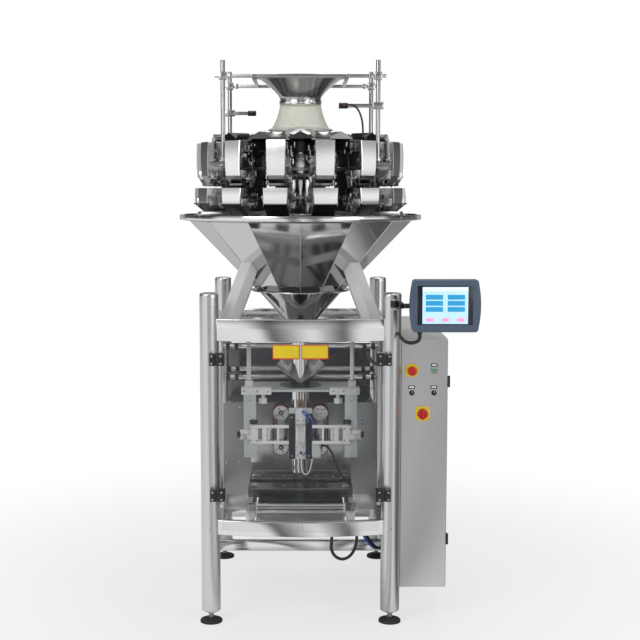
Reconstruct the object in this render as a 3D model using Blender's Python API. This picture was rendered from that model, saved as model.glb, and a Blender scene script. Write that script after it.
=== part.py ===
"""Vertical form fill sealer with a multihead weigher on top of it, in metres, +Z up.

+X is the machine's right side with the cabinet and +Y its rear with the film reel. Every shape is written
in machine coordinates: x and y are measured from the axis of the forming tube and z from the floor. At the
end the whole machine moves so that its origin is the bottom centre of its box.
"""

import math

import bmesh
import bpy
import numpy as np

GAP = 0.0003  # clear space between two faces that touch
LAP = 0.002  # how far shapes of one piece reach into each other
ROUND_STEPS = 28  # flats round the weigher's turned pieces
TUBE_STEPS = 28  # flats round the forming tube and what fits it

# Frame
POST_RADIUS, POST_X, POST_FRONT, POST_REAR = 0.0425, 0.403, -0.40, 0.59
POST_LOW, POST_TOP = 0.055, 1.493
BOW = 0.05  # how far the front beams and doors stand forward of the posts at the middle
BEAM_DEPTH = 0.030
TOP_BEAM, LOW_BEAM = (1.28, 1.38), (0.407, 0.475)
SIDE_TOP, SIDE_MID, SIDE_LOW = (1.23, 1.33), (0.47, 0.53), (0.22, 0.28)
SIDE_WIDTH = 0.040
TIE_Y = -0.04
FOOT_RADIUS, FOOT_HEIGHT, STUD_RADIUS = 0.050, 0.022, 0.011
WALL_Y, WALL_SHEET, WALL_Z = 0.200, 0.004, (0.360, 0.560, 0.900)
PANEL_Y, PANEL_TOP = POST_REAR - 0.090, 1.160
ROLLERS = ((0.120, 1.190), (0.220, 1.064), (0.140, 1.036))  # y and z of the film's turning bars
ROLLER_RADIUS = 0.011

# Doors
HINGE_X, HINGE_FRONT, HINGE_HALF = POST_X - 0.0312, -0.475, 0.026
DOOR_LOW, DOOR_TOP, DOOR_SHEET, DOOR_END = 0.430, 1.275, 0.006, HINGE_X - 0.0198
HINGE_HEIGHTS = (0.597, 1.204)

# Cabinet
CABINET_RIGHT, CABINET_FRONT, CABINET_REAR = POST_X + 0.2515, -0.400, POST_REAR + 0.010
CABINET_LOW, CABINET_TOP, SHEET = 0.160, 1.288, 0.003
CABINET_HINGES = (0.383, 1.098)
ESTOP, START = (POST_X + 0.0905, 1.148), (POST_X + 0.189, 1.148)
SELECTORS = ((ESTOP[0], 1.049), (START[0], 1.049))
MAIN_SWITCH, SWITCH_PLATE = (POST_X + 0.140, 0.954), 0.032

# Screen on its arm
SWIVEL_X, SWIVEL_Y, ARM_Z = POST_X + 0.007, -0.462, 1.450
SCREEN_X, SCREEN_Z, SCREEN_Y = (SWIVEL_X + 0.0517, SWIVEL_X + 0.3525), (1.344, 1.568), (-0.640, -0.590)
TILT_Y = -0.575
PIN_RADIUS = 0.008

# Forming set
TUBE_RADIUS, TUBE_WALL, TUBE_LOW, TUBE_TOP = 0.042, 0.0015, 0.600, 1.290
CARRIER_Z, CARRIER_X, CARRIER_Y = (1.010, 1.020), 0.262, (-0.150, 0.100)
HANGER_X, HANGER_WIDTH = 0.240, 0.020
COLLAR_TOP, COLLAR_SPREAD = 1.151, 0.112
LADDER_RAILS, LADDER_X, LADDER_Y, RAIL_WIDTH = (0.775, 0.850), 0.280, -0.165, 0.012
BRACKET_X, BRACKET_LOW = (0.206, 0.264), 0.703

# Pull belts
PULLEY_X, PULLEY_RADIUS, PULLEY_WIDTH = 0.093, 0.036, 0.052
PULLEY_HEIGHTS = (0.722, 0.888)
BELT_THICKNESS, BELT_WIDTH = 0.004, 0.044

# Sealers
SEALER_Z, SEALER_X, SEALER_REACH = (0.681, 0.929), 0.055, 0.011
ROD_RADIUS, ROD_X, ROD_Z, ROD_ENDS = 0.012, 0.215, 0.497, (-0.300, 0.390)
JAW_LENGTH, JAW_DEPTH, JAW_HEIGHT, JAW_OPEN = 0.245, 0.110, 0.045, 0.040

# Film reel
REEL_RADIUS, REEL_WIDTH, REEL_Y, REEL_Z, MANDREL_RADIUS = 0.150, 0.520, POST_REAR + 0.210, 0.620, 0.018
REEL_OVERHANG = POST_X - 0.018  # how far the mandrel reaches to each side

# Weigher
HEADS = 14
CONE_RIM, CONE_NECK, CONE_LIP = (0.519, 1.800), (0.209, 1.479), (0.570, 1.831)
CONE_WALL, LIP_HEIGHT = 0.004, 0.023
FUNNEL_MOUTH, FUNNEL_NECK = 0.200, (0.075, 1.333)
DRUM_RADIUS, DRUM_Z, COLUMN_RADIUS, COLUMN_LOW = 0.200, (2.010, 2.115), 0.120, 1.835
ARM_ANGLE, ROD_CIRCLE, ARM_WIDTH = 2, 0.440, 0.030  # arms lie two head steps from the front
FEED_OUT, FEED_IN, FEED_WIDTH, FEED_Z = 0.480, 0.390, 0.080, (1.960, 2.006, 2.158)
WEIGH_OUT, WEIGH_IN, WEIGH_WIDTH, WEIGH_Z = 0.490, 0.385, 0.103, (1.832, 1.883, 1.952)
FEED_SPOKE_Z, WEIGH_SPOKE_Z = (2.030, 2.044), (1.902, 1.916)
HOPPER_WALL, GATE_THICKNESS, GATE_FOOT, RIM_DROP = 0.002, 0.003, 0.430, 0.0015
PAN_RADII, PAN_Z = (0.165, 0.400), (2.165, 2.215)
DISPERSION_RADIUS, DISPERSION_Z = 0.160, (2.166, 2.235)

# Infeed
GANTRY_LOW, GANTRY_TOP, GANTRY_ROD, GANTRY_BAR = 2.070, 2.516, 0.010, 0.015
BAR_Z = 2.445
INFEED_MOUTH, INFEED_NECK = (0.198, 2.460), (0.096, 2.364)
BAND_LOW, SKIRT_FOOT = 2.336, (0.135, 2.220)
SENSOR_Z = 2.315


# ---------------------------------------------------------------- shapes: (points, faces)


def joined(*shapes):
    """Several shapes as one, without a cut between them."""
    points, faces = [], []
    for more_points, more_faces in shapes:
        faces += [[i + len(points) for i in face] for face in more_faces]
        points += [tuple(p) for p in more_points]
    return points, faces


def prism(outline, along, low, high):
    """An outline in the plane across one axis, drawn out along that axis from low to high."""
    order = {"X": (2, 0, 1), "Y": (0, 2, 1), "Z": (0, 1, 2)}[along]
    points = []
    for level in (low, high):
        points += [tuple((u, v, level)[i] for i in order) for u, v in outline]
    n = len(outline)
    sides = [[i, (i + 1) % n, n + (i + 1) % n, n + i] for i in range(n)]
    return points, sides + [list(range(n))[::-1], list(range(n, 2 * n))]


def block(x, y, z):
    return prism([(x[0], y[0]), (x[1], y[0]), (x[1], y[1]), (x[0], y[1])], "Z", *z)


def cube_at(centre, size):
    return block(*[(c - s / 2, c + s / 2) for c, s in zip(centre, size)])


def turned(profile, centre=(0, 0, 0), axis="Z", steps=24, phase=0.0, closed=True):
    """A profile of (radius, height) pairs turned round an axis. Radius 0 is one point at a pole."""
    order = {"X": (2, 0, 1), "Y": (0, 2, 1), "Z": (0, 1, 2)}[axis]
    points, rings = [], []
    for radius, height in profile:
        count = 1 if radius == 0 else steps
        rings.append([len(points) + i % count for i in range(steps)])
        for i in range(count):
            turn = phase + 2 * math.pi * i / steps
            local = (radius * math.cos(turn), radius * math.sin(turn), height)
            points.append(tuple(local[k] + c for k, c in zip(order, centre)))
    faces = []
    pairs = list(zip(rings, rings[1:])) + ([(rings[-1], rings[0])] if closed else [])
    for lower, upper in pairs:
        for i in range(steps):
            j = (i + 1) % steps
            face = list(dict.fromkeys([lower[i], lower[j], upper[j], upper[i]]))
            if len(face) > 2:
                faces.append(face)
    return points, faces


def disc(radius, low, high, centre=(0, 0, 0), axis="Z", steps=24):
    return turned([(0, low), (radius, low), (radius, high), (0, high)], centre, axis, steps, closed=False)


def ring(inner, outer, low, high, centre=(0, 0, 0), axis="Z", steps=24, phase=0.0):
    profile = [(inner, low), (outer, low), (outer, high), (inner, high)]
    return turned(profile, centre, axis, steps, phase)


def bar(start, end, width, depth):
    """A square bar between two points, its depth as near upright as it can be."""
    a, b = np.array(start, float), np.array(end, float)
    run = (b - a) / np.linalg.norm(b - a)
    side = np.cross(run, (0, 0, 1))
    side = side / np.linalg.norm(side) if np.linalg.norm(side) > 1e-6 else np.array([1.0, 0, 0])
    up = np.cross(side, run)
    corners = [(-1, -1), (1, -1), (1, 1), (-1, 1)]
    points = [tuple(p + side * u * width / 2 + up * v * depth / 2) for p in (a, b) for u, v in corners]
    return points, prism([(0, 0)] * 4, "Z", 0, 1)[1]


def mirrored(shape):
    return [(-x, y, z) for x, y, z in shape[0]], [face[::-1] for face in shape[1]]


def both_sides(shape):
    return joined(shape, mirrored(shape))


def swung(shape, angle):
    """A shape turned about the machine's upright axis."""
    c, s = math.cos(angle), math.sin(angle)
    return [(x * c - y * s, x * s + y * c, z) for x, y, z in shape[0]], shape[1]


def bow(x):
    """Where the bowed front line runs at x: it meets the posts and stands BOW forward at the middle."""
    return POST_FRONT - BOW * (1 - (x / POST_X) ** 2)


def bowed(x_range, offsets, z, steps=8):
    """A strip that follows the bowed front line, between two offsets from it."""
    xs = [x_range[0] + (x_range[1] - x_range[0]) * i / steps for i in range(steps + 1)]
    outline = [(x, bow(x) + offsets[0]) for x in xs] + [(x, bow(x) + offsets[1]) for x in xs[::-1]]
    return prism(outline, "Z", *z)


# ---------------------------------------------------------------- objects

for old in list(bpy.data.objects):
    bpy.data.objects.remove(old)

machine = bpy.data.objects.new("machine", None)
bpy.context.scene.collection.objects.link(machine)


def material(name, colour, roughness, metallic=0.0, alpha=1.0):
    made = bpy.data.materials.new(name)
    made.use_nodes = True
    shader = made.node_tree.nodes["Principled BSDF"]
    shader.inputs["Base Color"].default_value = (*colour, 1)
    shader.inputs["Roughness"].default_value = roughness
    shader.inputs["Metallic"].default_value = metallic
    shader.inputs["Alpha"].default_value = alpha
    return made


STEEL = material("brushed_steel", (0.62, 0.62, 0.61), 0.32, 1.0)
MIRROR = material("polished_steel", (0.74, 0.74, 0.74), 0.10, 1.0)
ALUMINIUM = material("aluminium", (0.78, 0.78, 0.79), 0.38, 1.0)
BLACK = material("black_plastic", (0.02, 0.02, 0.022), 0.45)
RUBBER = material("rubber", (0.03, 0.03, 0.03), 0.8)
CLEAR = material("clear_acrylic", (0.9, 0.93, 0.93), 0.05, 0.0, 0.25)
SKIRT = material("skirt_film", (0.93, 0.91, 0.82), 0.4, 0.0, 0.6)
RED = material("red_plastic", (0.65, 0.02, 0.02), 0.35)
GREEN = material("green_plastic", (0.05, 0.45, 0.15), 0.35)
BEZEL = material("bezel", (0.30, 0.36, 0.42), 0.5)
BELT = material("belt", (0.35, 0.07, 0.07), 0.7)
FILM = material("film", (0.86, 0.88, 0.88), 0.3)


def mesh_object(name, shape, origin=(0, 0, 0)):
    mesh = bpy.data.meshes.new(name)
    points = [tuple(a - b for a, b in zip(p, origin)) for p in shape[0]]
    mesh.from_pydata(points, [], shape[1])
    work = bmesh.new()
    work.from_mesh(mesh)
    bmesh.ops.recalc_face_normals(work, faces=work.faces)
    work.to_mesh(mesh)
    work.free()
    mesh.shade_smooth()
    mesh.set_sharp_from_angle(angle=math.radians(35))
    made = bpy.data.objects.new(name, mesh)
    bpy.context.scene.collection.objects.link(made)
    made.parent = machine
    made.location = origin
    return made


def piece(name, finish, base, adds=(), cuts=(), origin=(0, 0, 0)):
    """One named sub-part: a base shape, the shapes that a Boolean joins to it and those it cuts out."""
    made = mesh_object(name, base, origin)
    made.data.materials.append(finish)
    for operation, shapes in (("UNION", adds), ("DIFFERENCE", cuts)):
        for number, shape in enumerate(shapes):
            helper = mesh_object(f"{name}_{operation.lower()}_{number}", shape)
            helper.hide_render = True
            helper.display_type = "WIRE"
            step = made.modifiers.new(helper.name, "BOOLEAN")
            step.operation = operation
            step.object = helper
    return made


# ---------------------------------------------------------------- frame


def build_frame():
    side_in, side_out = POST_X - SIDE_WIDTH / 2, POST_X + SIDE_WIDTH / 2
    cap = 0.012
    post = [(0, POST_LOW), (POST_RADIUS, POST_LOW), (POST_RADIUS, POST_TOP - cap)]
    post += [(POST_RADIUS - cap / 3, POST_TOP - cap / 3), (POST_RADIUS - cap, POST_TOP), (0, POST_TOP)]
    corners = [(x, y) for x in (-POST_X, POST_X) for y in (POST_FRONT, POST_REAR)]
    posts = joined(*[turned(post, (x, y, 0), closed=False) for x, y in corners])
    half = BEAM_DEPTH / 2
    span = (-POST_X, POST_X)
    front = joined(bowed(span, (-half, half), TOP_BEAM, 12), bowed(span, (-half, half), LOW_BEAM, 12))
    across_y = (POST_REAR - half, POST_REAR + half)
    across = joined(block(span, across_y, SIDE_TOP), block(span, across_y, SIDE_LOW))
    runs = [block((side_in, side_out), (POST_FRONT, POST_REAR), (z[0] + LAP, z[1] - LAP))
            for z in (SIDE_TOP, SIDE_MID, SIDE_LOW)]
    sides = both_sides(joined(*runs))
    tie = block((-POST_X, POST_X), (TIE_Y - half, TIE_Y + half), (SIDE_LOW[0] + 2 * LAP, SIDE_LOW[1] - 2 * LAP))
    cheek_x = (side_in - 0.008, side_in + LAP * 0.75)
    cheek_y = (min(y for y, _ in ROLLERS) - 0.03, max(y for y, _ in ROLLERS) + 0.03)
    cheek = block(cheek_x, cheek_y, (min(z for _, z in ROLLERS) - 0.03, SIDE_TOP[0] + 0.02))
    turning = [disc(ROLLER_RADIUS, -cheek_x[0] - LAP, cheek_x[0] + LAP, (0, y, z), "X", 12) for y, z in ROLLERS]
    pad_y = (HINGE_FRONT, POST_FRONT - POST_RADIUS + 0.008)
    pads = [block((HINGE_X + GAP, HINGE_X + 0.028), pad_y, (z - HINGE_HALF, z + HINGE_HALF)) for z in HINGE_HEIGHTS]
    arm_top = REEL_Z - MANDREL_RADIUS - GAP
    reel_x = REEL_WIDTH / 2 + 0.045
    arms = block((reel_x, POST_X - 0.01), (POST_REAR - 0.02, REEL_Y + 0.03), (arm_top - 0.05, arm_top))
    ledge_z = ARM_Z - 0.015
    ledge = block((SWIVEL_X - 0.018, SWIVEL_X + 0.018), (SWIVEL_Y - 0.018, POST_FRONT - 0.03), (ledge_z - 0.012, ledge_z - GAP))
    pin = disc(PIN_RADIUS, ledge_z - 0.006, ARM_Z + 0.02, (SWIVEL_X, SWIVEL_Y, 0), "Z", 16)
    piece("frame", STEEL, posts, [front, across, sides, tie, both_sides(cheek), joined(*turning), both_sides(joined(*pads)),
                                  both_sides(arms), ledge, pin])
    foot = [(0, 0), (FOOT_RADIUS, 0), (FOOT_RADIUS, FOOT_HEIGHT * 0.6), (FOOT_RADIUS * 0.45, FOOT_HEIGHT)]
    foot += [(STUD_RADIUS, FOOT_HEIGHT), (STUD_RADIUS, POST_LOW - 0.012), (2 * STUD_RADIUS, POST_LOW - 0.012)]
    foot += [(2 * STUD_RADIUS, POST_LOW - GAP), (0, POST_LOW - GAP)]
    for (x, y), name in zip(corners, ("left_front", "left_rear", "right_front", "right_rear")):
        piece("foot_" + name, RUBBER, turned(foot, (x, y, 0), closed=False))


def build_back_wall():
    """The steel wall behind the film tube, open below for the jaws, and the upper panel behind the rollers."""
    edge, opening = POST_X - SIDE_WIDTH / 2 - GAP, ROD_X + 0.020
    low, sill, top = WALL_Z
    outline = [(-edge, low), (-opening, low), (-opening, sill), (opening, sill), (opening, low), (edge, low), (edge, top), (-edge, top)]
    wall = prism(outline, "Y", WALL_Y, WALL_Y + WALL_SHEET)
    narrow = edge - 0.022
    shelf = block((-narrow, narrow), (WALL_Y + LAP / 2, PANEL_Y), (top - 0.006, top - 0.002))
    panel = block((-narrow, narrow), (PANEL_Y - LAP, PANEL_Y + WALL_SHEET), (top - 0.004, PANEL_TOP))
    piece("back_wall", STEEL, wall, [shelf, panel])


# ---------------------------------------------------------------- doors


def build_doors():
    front = -BEAM_DEPTH / 2 - 0.001
    for side, name in ((-1, "door_left"), (1, "door_right")):
        leaf = bowed((0.0015, DOOR_END), (front - DOOR_SHEET, front), (DOOR_LOW, DOOR_TOP), 8)
        stile = bowed((0.0015, 0.014), (front - DOOR_SHEET - 0.004, front - LAP), (DOOR_LOW + 0.01, DOOR_TOP - 0.01), 1)
        half_hinge = [block((DOOR_END - 0.018, HINGE_X - GAP), (HINGE_FRONT, bow(DOOR_END) + front - 0.001),
                            (z - HINGE_HALF, z + HINGE_HALF)) for z in HINGE_HEIGHTS]
        shapes = [leaf, stile, joined(*half_hinge)]
        if side < 0:
            shapes = [mirrored(shape) for shape in shapes]
        piece(name, CLEAR, shapes[0], shapes[1:], origin=(side * HINGE_X, HINGE_FRONT, 0))


# ---------------------------------------------------------------- cabinet


def build_cabinet():
    left = POST_X + POST_RADIUS + GAP
    right = CABINET_RIGHT - SHEET
    outer = block((left, right), (CABINET_FRONT, CABINET_REAR), (CABINET_LOW, CABINET_TOP))
    hollow = block((left + SHEET, right + SHEET), (CABINET_FRONT + SHEET, CABINET_REAR - SHEET),
                   (CABINET_LOW + SHEET, CABINET_TOP - SHEET))
    face = CABINET_FRONT

    def collar(place, inner, outer_radius, height):
        return ring(inner, outer_radius, face - height, face + LAP, (place[0], 0, place[1]), "Y")

    estop_ring = collar(ESTOP, 0.0105, 0.030, 0.012)
    start_ring = collar(START, 0.0085, 0.015, 0.008)
    selector_rings = joined(*[collar(place, 0.0085, 0.015, 0.008) for place in SELECTORS])
    plate = cube_at((MAIN_SWITCH[0], face - 0.002, MAIN_SWITCH[1]), (2 * SWITCH_PLATE, 0.008, 2 * SWITCH_PLATE))
    piece("cabinet_shell", STEEL, outer, [estop_ring, start_ring, selector_rings, plate], [hollow])

    hinge_x, hinge_y = CABINET_RIGHT + 0.0036, CABINET_FRONT - 0.0035
    leaf = block((right + GAP, CABINET_RIGHT), (CABINET_FRONT + 0.002, CABINET_REAR - 0.002),
                 (CABINET_LOW + 0.002, CABINET_TOP - 0.002))
    knuckles = joined(*[disc(0.006, z - 0.025, z + 0.025, (hinge_x, hinge_y + 0.004, 0), "Z", 12) for z in CABINET_HINGES])
    handle = cube_at((CABINET_RIGHT + 0.008, CABINET_REAR - 0.06, 0.72), (0.020, 0.020, 0.12))
    piece("cabinet_door", STEEL, leaf, [knuckles, handle], origin=(hinge_x, hinge_y, 0))

    def control(name, finish, place, profile, grip=None):
        centre = (place[0], 0, place[1])
        base = turned([(r, face + y) for r, y in profile], centre, "Y", 20, closed=False)
        piece(name, finish, base, [grip] if grip else [], origin=(place[0], face, place[1]))

    stem, inner = 0.0105 - GAP, 0.0085 - GAP
    control("estop_button", RED, ESTOP, [(0, -0.007), (stem, -0.007), (stem, -0.019), (0.020, -0.019), (0.020, -0.028), (0.014, -0.034), (0, -0.036)])
    control("start_button", GREEN, START, [(0, -0.0045), (inner, -0.0045), (inner, -0.012), (0, -0.013)])
    for number, place in enumerate(SELECTORS):
        grip = cube_at((place[0], face - 0.018, place[1]), (0.007, 0.016, 0.022))
        knob = [(0, -0.0003), (inner, -0.0003), (inner, -0.0085), (0.013, -0.0085), (0.012, -0.014), (0, -0.014)]
        control(("selector_left", "selector_right")[number], BLACK, place, knob, grip)
    lever = cube_at((MAIN_SWITCH[0], face - 0.024, MAIN_SWITCH[1]), (0.012, 0.018, 0.046))
    control("main_switch", RED, MAIN_SWITCH, [(0, -0.0063), (0.024, -0.0063), (0.021, -0.018), (0, -0.018)], lever)


def build_screen():
    top, low = ARM_Z + 0.013, ARM_Z - 0.015
    boss = ring(PIN_RADIUS + GAP, 0.018, low, top, (SWIVEL_X, SWIVEL_Y, 0), "Z", 20)
    middle = sum(SCREEN_X) / 2
    elbow = TILT_Y + 0.014
    reach = block((SWIVEL_X + 0.014, SWIVEL_X + 0.034), (elbow, SWIVEL_Y + 0.006), (low + LAP, top - LAP))
    cross = block((SWIVEL_X + 0.016, middle + 0.010), (elbow, elbow + 0.018), (low + 2 * LAP, top - 2 * LAP))
    neck = block((middle - 0.012, middle + 0.012), (TILT_Y + 0.004, elbow + 0.010), (ARM_Z - 0.009, ARM_Z + 0.009))
    barrel = disc(0.012, middle - 0.022, middle + 0.022, (0, TILT_Y, ARM_Z), "X", 16)
    gland = disc(0.011, SCREEN_Z[0] - 0.016, ARM_Z - 0.008, (middle - 0.10, elbow + 0.0095, 0), "Z", 12)
    piece("hmi_arm", BLACK, boss, [reach, cross, barrel, neck, gland], origin=(SWIVEL_X, SWIVEL_Y, ARM_Z))

    side = 0.010  # the bezel's sides bow outwards by this much
    rows = [(SCREEN_Z[0] + (SCREEN_Z[1] - SCREEN_Z[0]) * i / 4, side * (1 - (i / 2 - 1) ** 2)) for i in range(5)]
    outline = [(SCREEN_X[1] - side + grow, z) for z, grow in rows]
    outline += [(SCREEN_X[0] + side - grow, z) for z, grow in rows[::-1]]
    shell = prism(outline, "Y", *SCREEN_Y)
    lugs = [block(x, (SCREEN_Y[1] - LAP, TILT_Y + 0.006), (ARM_Z - 0.010, ARM_Z + 0.010))
            for x in ((middle - 0.034, middle - 0.022 - GAP), (middle + 0.022 + GAP, middle + 0.034))]
    piece("hmi_panel", BEZEL, shell, [joined(*lugs)], origin=(middle, TILT_Y, ARM_Z))


# ---------------------------------------------------------------- forming, pulling and sealing


def build_forming_set():
    plate = block((-CARRIER_X, CARRIER_X), CARRIER_Y, CARRIER_Z)
    hanger_y = CARRIER_Y[0] + 0.02
    half = HANGER_WIDTH / 2
    hanger = block((HANGER_X - half, HANGER_X + half), (hanger_y - half, hanger_y + half), (CARRIER_Z[0] + LAP, 1.290))
    beam_x = POST_X - SIDE_WIDTH / 2 - GAP
    beam = block((-beam_x, beam_x), (hanger_y - half + LAP / 2, hanger_y + half - LAP / 2), (1.262, 1.292))
    clamp = block((0.135, 0.275), (CARRIER_Y[0] - 0.012, CARRIER_Y[0] + 0.035), (CARRIER_Z[0] - 0.012, CARRIER_Z[1] + 0.012))
    knob = turned([(0, 0.955), (0.017, 0.955), (0.021, 0.962), (0.021, 0.978), (0.008, 0.982), (0.008, 1.000), (0, 1.000)],
                  (0.174, CARRIER_Y[0] + 0.010, 0), "Z", 12, closed=False)
    bracket_y = LADDER_Y + RAIL_WIDTH / 2
    bracket = block(BRACKET_X, (bracket_y - 0.001, bracket_y + 0.007), (BRACKET_LOW, CARRIER_Z[0] - 0.004))
    rails = joined(*[block((-LADDER_X, LADDER_X), (LADDER_Y - RAIL_WIDTH / 2, LADDER_Y + RAIL_WIDTH / 2),
                           (z - RAIL_WIDTH / 2, z + RAIL_WIDTH / 2)) for z in LADDER_RAILS])
    rungs = joined(*[block((x - 0.005, x + 0.005), (LADDER_Y - 0.004, LADDER_Y + 0.004), LADDER_RAILS)
                     for x in (-0.255, -0.185, -0.105, 0.105, 0.185, 0.255)])
    end_knob = disc(0.019, LADDER_X - LAP, LADDER_X + 0.018, (0, LADDER_Y, sum(LADDER_RAILS) / 2), "X", 12)
    end_bar = block((LADDER_X - 0.008, LADDER_X), (LADDER_Y - 0.005, LADDER_Y + 0.005), LADDER_RAILS)
    bore = disc(TUBE_RADIUS + GAP, CARRIER_Z[0] - 0.05, CARRIER_Z[1] + 0.05, steps=TUBE_STEPS)
    piece("former_carrier", STEEL, plate,
          [both_sides(hanger), beam, both_sides(clamp), both_sides(knob), both_sides(bracket), rails, rungs,
           both_sides(end_bar), both_sides(end_knob)], [bore])

    inner = TUBE_RADIUS - TUBE_WALL
    tube = [(inner, TUBE_LOW), (TUBE_RADIUS, TUBE_LOW), (TUBE_RADIUS, TUBE_TOP), (inner, TUBE_TOP)]
    piece("forming_tube", MIRROR, turned(tube, steps=TUBE_STEPS))
    build_collar()


def build_collar():
    """The folded shoulder round the tube: its rim is high at the rear, where film comes over it, and dips at
    the front, where the film's two edges meet."""
    steps, wall = TUBE_STEPS, 0.0025
    foot_z = CARRIER_Z[1] + GAP
    loops = []
    for share, inset in ((0, 0), (0.45, 0), (1, 0), (1, wall), (0.45, wall), (0, wall)):
        loop = []
        for i in range(steps):
            turn = 2 * math.pi * i / steps
            rear, aside = (1 + math.sin(turn)) / 2, abs(math.cos(turn))  # rear is 0 at the front and 1 at the rear
            wing, climb = (0.75 + 0.25 * aside, 0.35 + 0.65 * rear) if rear > 0.5 else (aside**0.7, 0.075 + 0.6 * aside)
            radius = TUBE_RADIUS + GAP + (COLLAR_SPREAD - TUBE_RADIUS) * share**1.6 * wing + wall - inset
            height = foot_z + (COLLAR_TOP - foot_z) * share * climb + (inset if share == 1 else 0)
            loop.append((radius * math.cos(turn), radius * math.sin(turn), height))
        loops.append(loop)
    points = [p for loop in loops for p in loop]
    faces = [[a * steps + i, a * steps + (i + 1) % steps, b * steps + (i + 1) % steps, b * steps + i]
             for a, b in zip(range(6), (1, 2, 3, 4, 5, 0)) for i in range(steps)]
    piece("forming_collar", MIRROR, (points, faces))


def build_belts():
    rear = PULLEY_WIDTH / 2 + 0.004
    belt_in = PULLEY_RADIUS + GAP
    for side, name in ((-1, "left"), (1, "right")):
        plate = block((PULLEY_X - 0.028, PULLEY_X + 0.030), (rear, rear + 0.010), (PULLEY_HEIGHTS[0] - 0.020, PULLEY_HEIGHTS[1] + 0.020))
        middle = sum(PULLEY_HEIGHTS) / 2
        arm = block((PULLEY_X + 0.020, 0.167), (rear + 0.001, rear + 0.009), (middle - 0.012, middle + 0.012))
        behind = LADDER_Y + RAIL_WIDTH / 2 + GAP
        forward = block((0.152, 0.166), (behind, rear + 0.008), (middle - 0.010, middle + 0.010))
        shoe = block((0.140, 0.178), (behind, behind + 0.012), (LADDER_RAILS[0] - 0.004, LADDER_RAILS[1] + 0.004))
        pins = joined(*[disc(PIN_RADIUS, -PULLEY_WIDTH / 2 - 0.003, rear + 0.005, (PULLEY_X, 0, z), "Y", 16) for z in PULLEY_HEIGHTS])
        shapes = [plate, arm, forward, shoe, pins]
        stadium = []
        for radius in (belt_in + BELT_THICKNESS, belt_in):
            loop = []
            for z, start in ((PULLEY_HEIGHTS[1], 0.0), (PULLEY_HEIGHTS[0], math.pi)):
                loop += [(PULLEY_X + radius * math.cos(start + math.pi * i / 12), z + radius * math.sin(start + math.pi * i / 12))
                         for i in range(13)]
            stadium.append(loop)
        belt = prism(stadium[0], "Y", -BELT_WIDTH / 2, BELT_WIDTH / 2)
        hollow = prism(stadium[1], "Y", -BELT_WIDTH, BELT_WIDTH)
        if side < 0:
            shapes, belt, hollow = [mirrored(s) for s in shapes], mirrored(belt), mirrored(hollow)
        piece("belt_carriage_" + name, ALUMINIUM, shapes[0], shapes[1:])
        piece("pull_belt_" + name, BELT, belt, cuts=[hollow])
        for z, level in zip(PULLEY_HEIGHTS, ("lower", "upper")):
            roller = ring(PIN_RADIUS + GAP, PULLEY_RADIUS, -PULLEY_WIDTH / 2, PULLEY_WIDTH / 2, (side * PULLEY_X, 0, z), "Y", 24)
            piece(f"pulley_{name}_{level}", ALUMINIUM, roller, origin=(side * PULLEY_X, 0, z))


def build_sealers():
    face = -TUBE_RADIUS - SEALER_REACH
    plate = block((-SEALER_X, SEALER_X), (face - 0.046, face - 0.032), SEALER_Z)
    bars = both_sides(block((0.027, SEALER_X - 0.001), (face - 0.062, face - 0.044), (SEALER_Z[0] + 0.004, SEALER_Z[1] - 0.030)))
    edge = block((-0.007, 0.007), (face - 0.034, face), (SEALER_Z[0] + 0.020, SEALER_Z[1] - 0.020))
    slide = block((-0.022, 0.022), (LADDER_Y + RAIL_WIDTH / 2 + GAP, face - 0.040), (LADDER_RAILS[0] - 0.002, LADDER_RAILS[1] + 0.002))
    heater = block((SEALER_X - LAP, SEALER_X + 0.040), (face - 0.070, face - 0.036), (0.795, 0.842))
    piece("vertical_sealer", BLACK, plate, [bars, edge, slide, heater], origin=(0, face, sum(SEALER_Z) / 2))

    jaw_z = (ROD_Z + ROD_RADIUS + GAP, ROD_Z + ROD_RADIUS + GAP + JAW_HEIGHT)
    for side, name in ((-1, "front_jaw"), (1, "rear_jaw")):
        near, far = side * JAW_OPEN, side * (JAW_OPEN + JAW_DEPTH)
        body = block((-JAW_LENGTH, JAW_LENGTH), tuple(sorted((near, far))), jaw_z)
        groove = block((-JAW_LENGTH - 0.01, JAW_LENGTH + 0.01), tuple(sorted((near - side * 0.01, near + side * 0.008))),
                       (jaw_z[0] + JAW_HEIGHT / 2 - 0.004, jaw_z[0] + JAW_HEIGHT / 2 + 0.004))
        piece(name, STEEL, body, cuts=[groove])

    rods = both_sides(disc(ROD_RADIUS, *ROD_ENDS, (ROD_X, 0, ROD_Z), "Y", 16))
    front_rail = block((-ROD_X - 0.02, ROD_X + 0.02), (ROD_ENDS[0] - 0.012, ROD_ENDS[0] + 0.012), (ROD_Z - 0.013, ROD_Z + 0.021))
    rear_x = POST_X - SIDE_WIDTH / 2 - GAP
    rear_rail = block((-rear_x, rear_x), (ROD_ENDS[1] - 0.012, ROD_ENDS[1] + 0.012), (ROD_Z - 0.014, ROD_Z + 0.022))
    seat = both_sides(block((ROD_X - 0.012, ROD_X + 0.028), (bow(ROD_X) - 0.004, ROD_ENDS[0] + 0.008), (LOW_BEAM[1] + GAP, ROD_Z + 0.024)))
    tray_y = (ROD_ENDS[0], -JAW_OPEN - JAW_DEPTH - 0.008)
    tray = block((-ROD_X + ROD_RADIUS + 0.004, ROD_X - ROD_RADIUS - 0.004), tray_y, (ROD_Z - 0.009, ROD_Z - 0.005))
    piece("jaw_guides", STEEL, rods, [front_rail, rear_rail, seat, tray])


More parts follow.
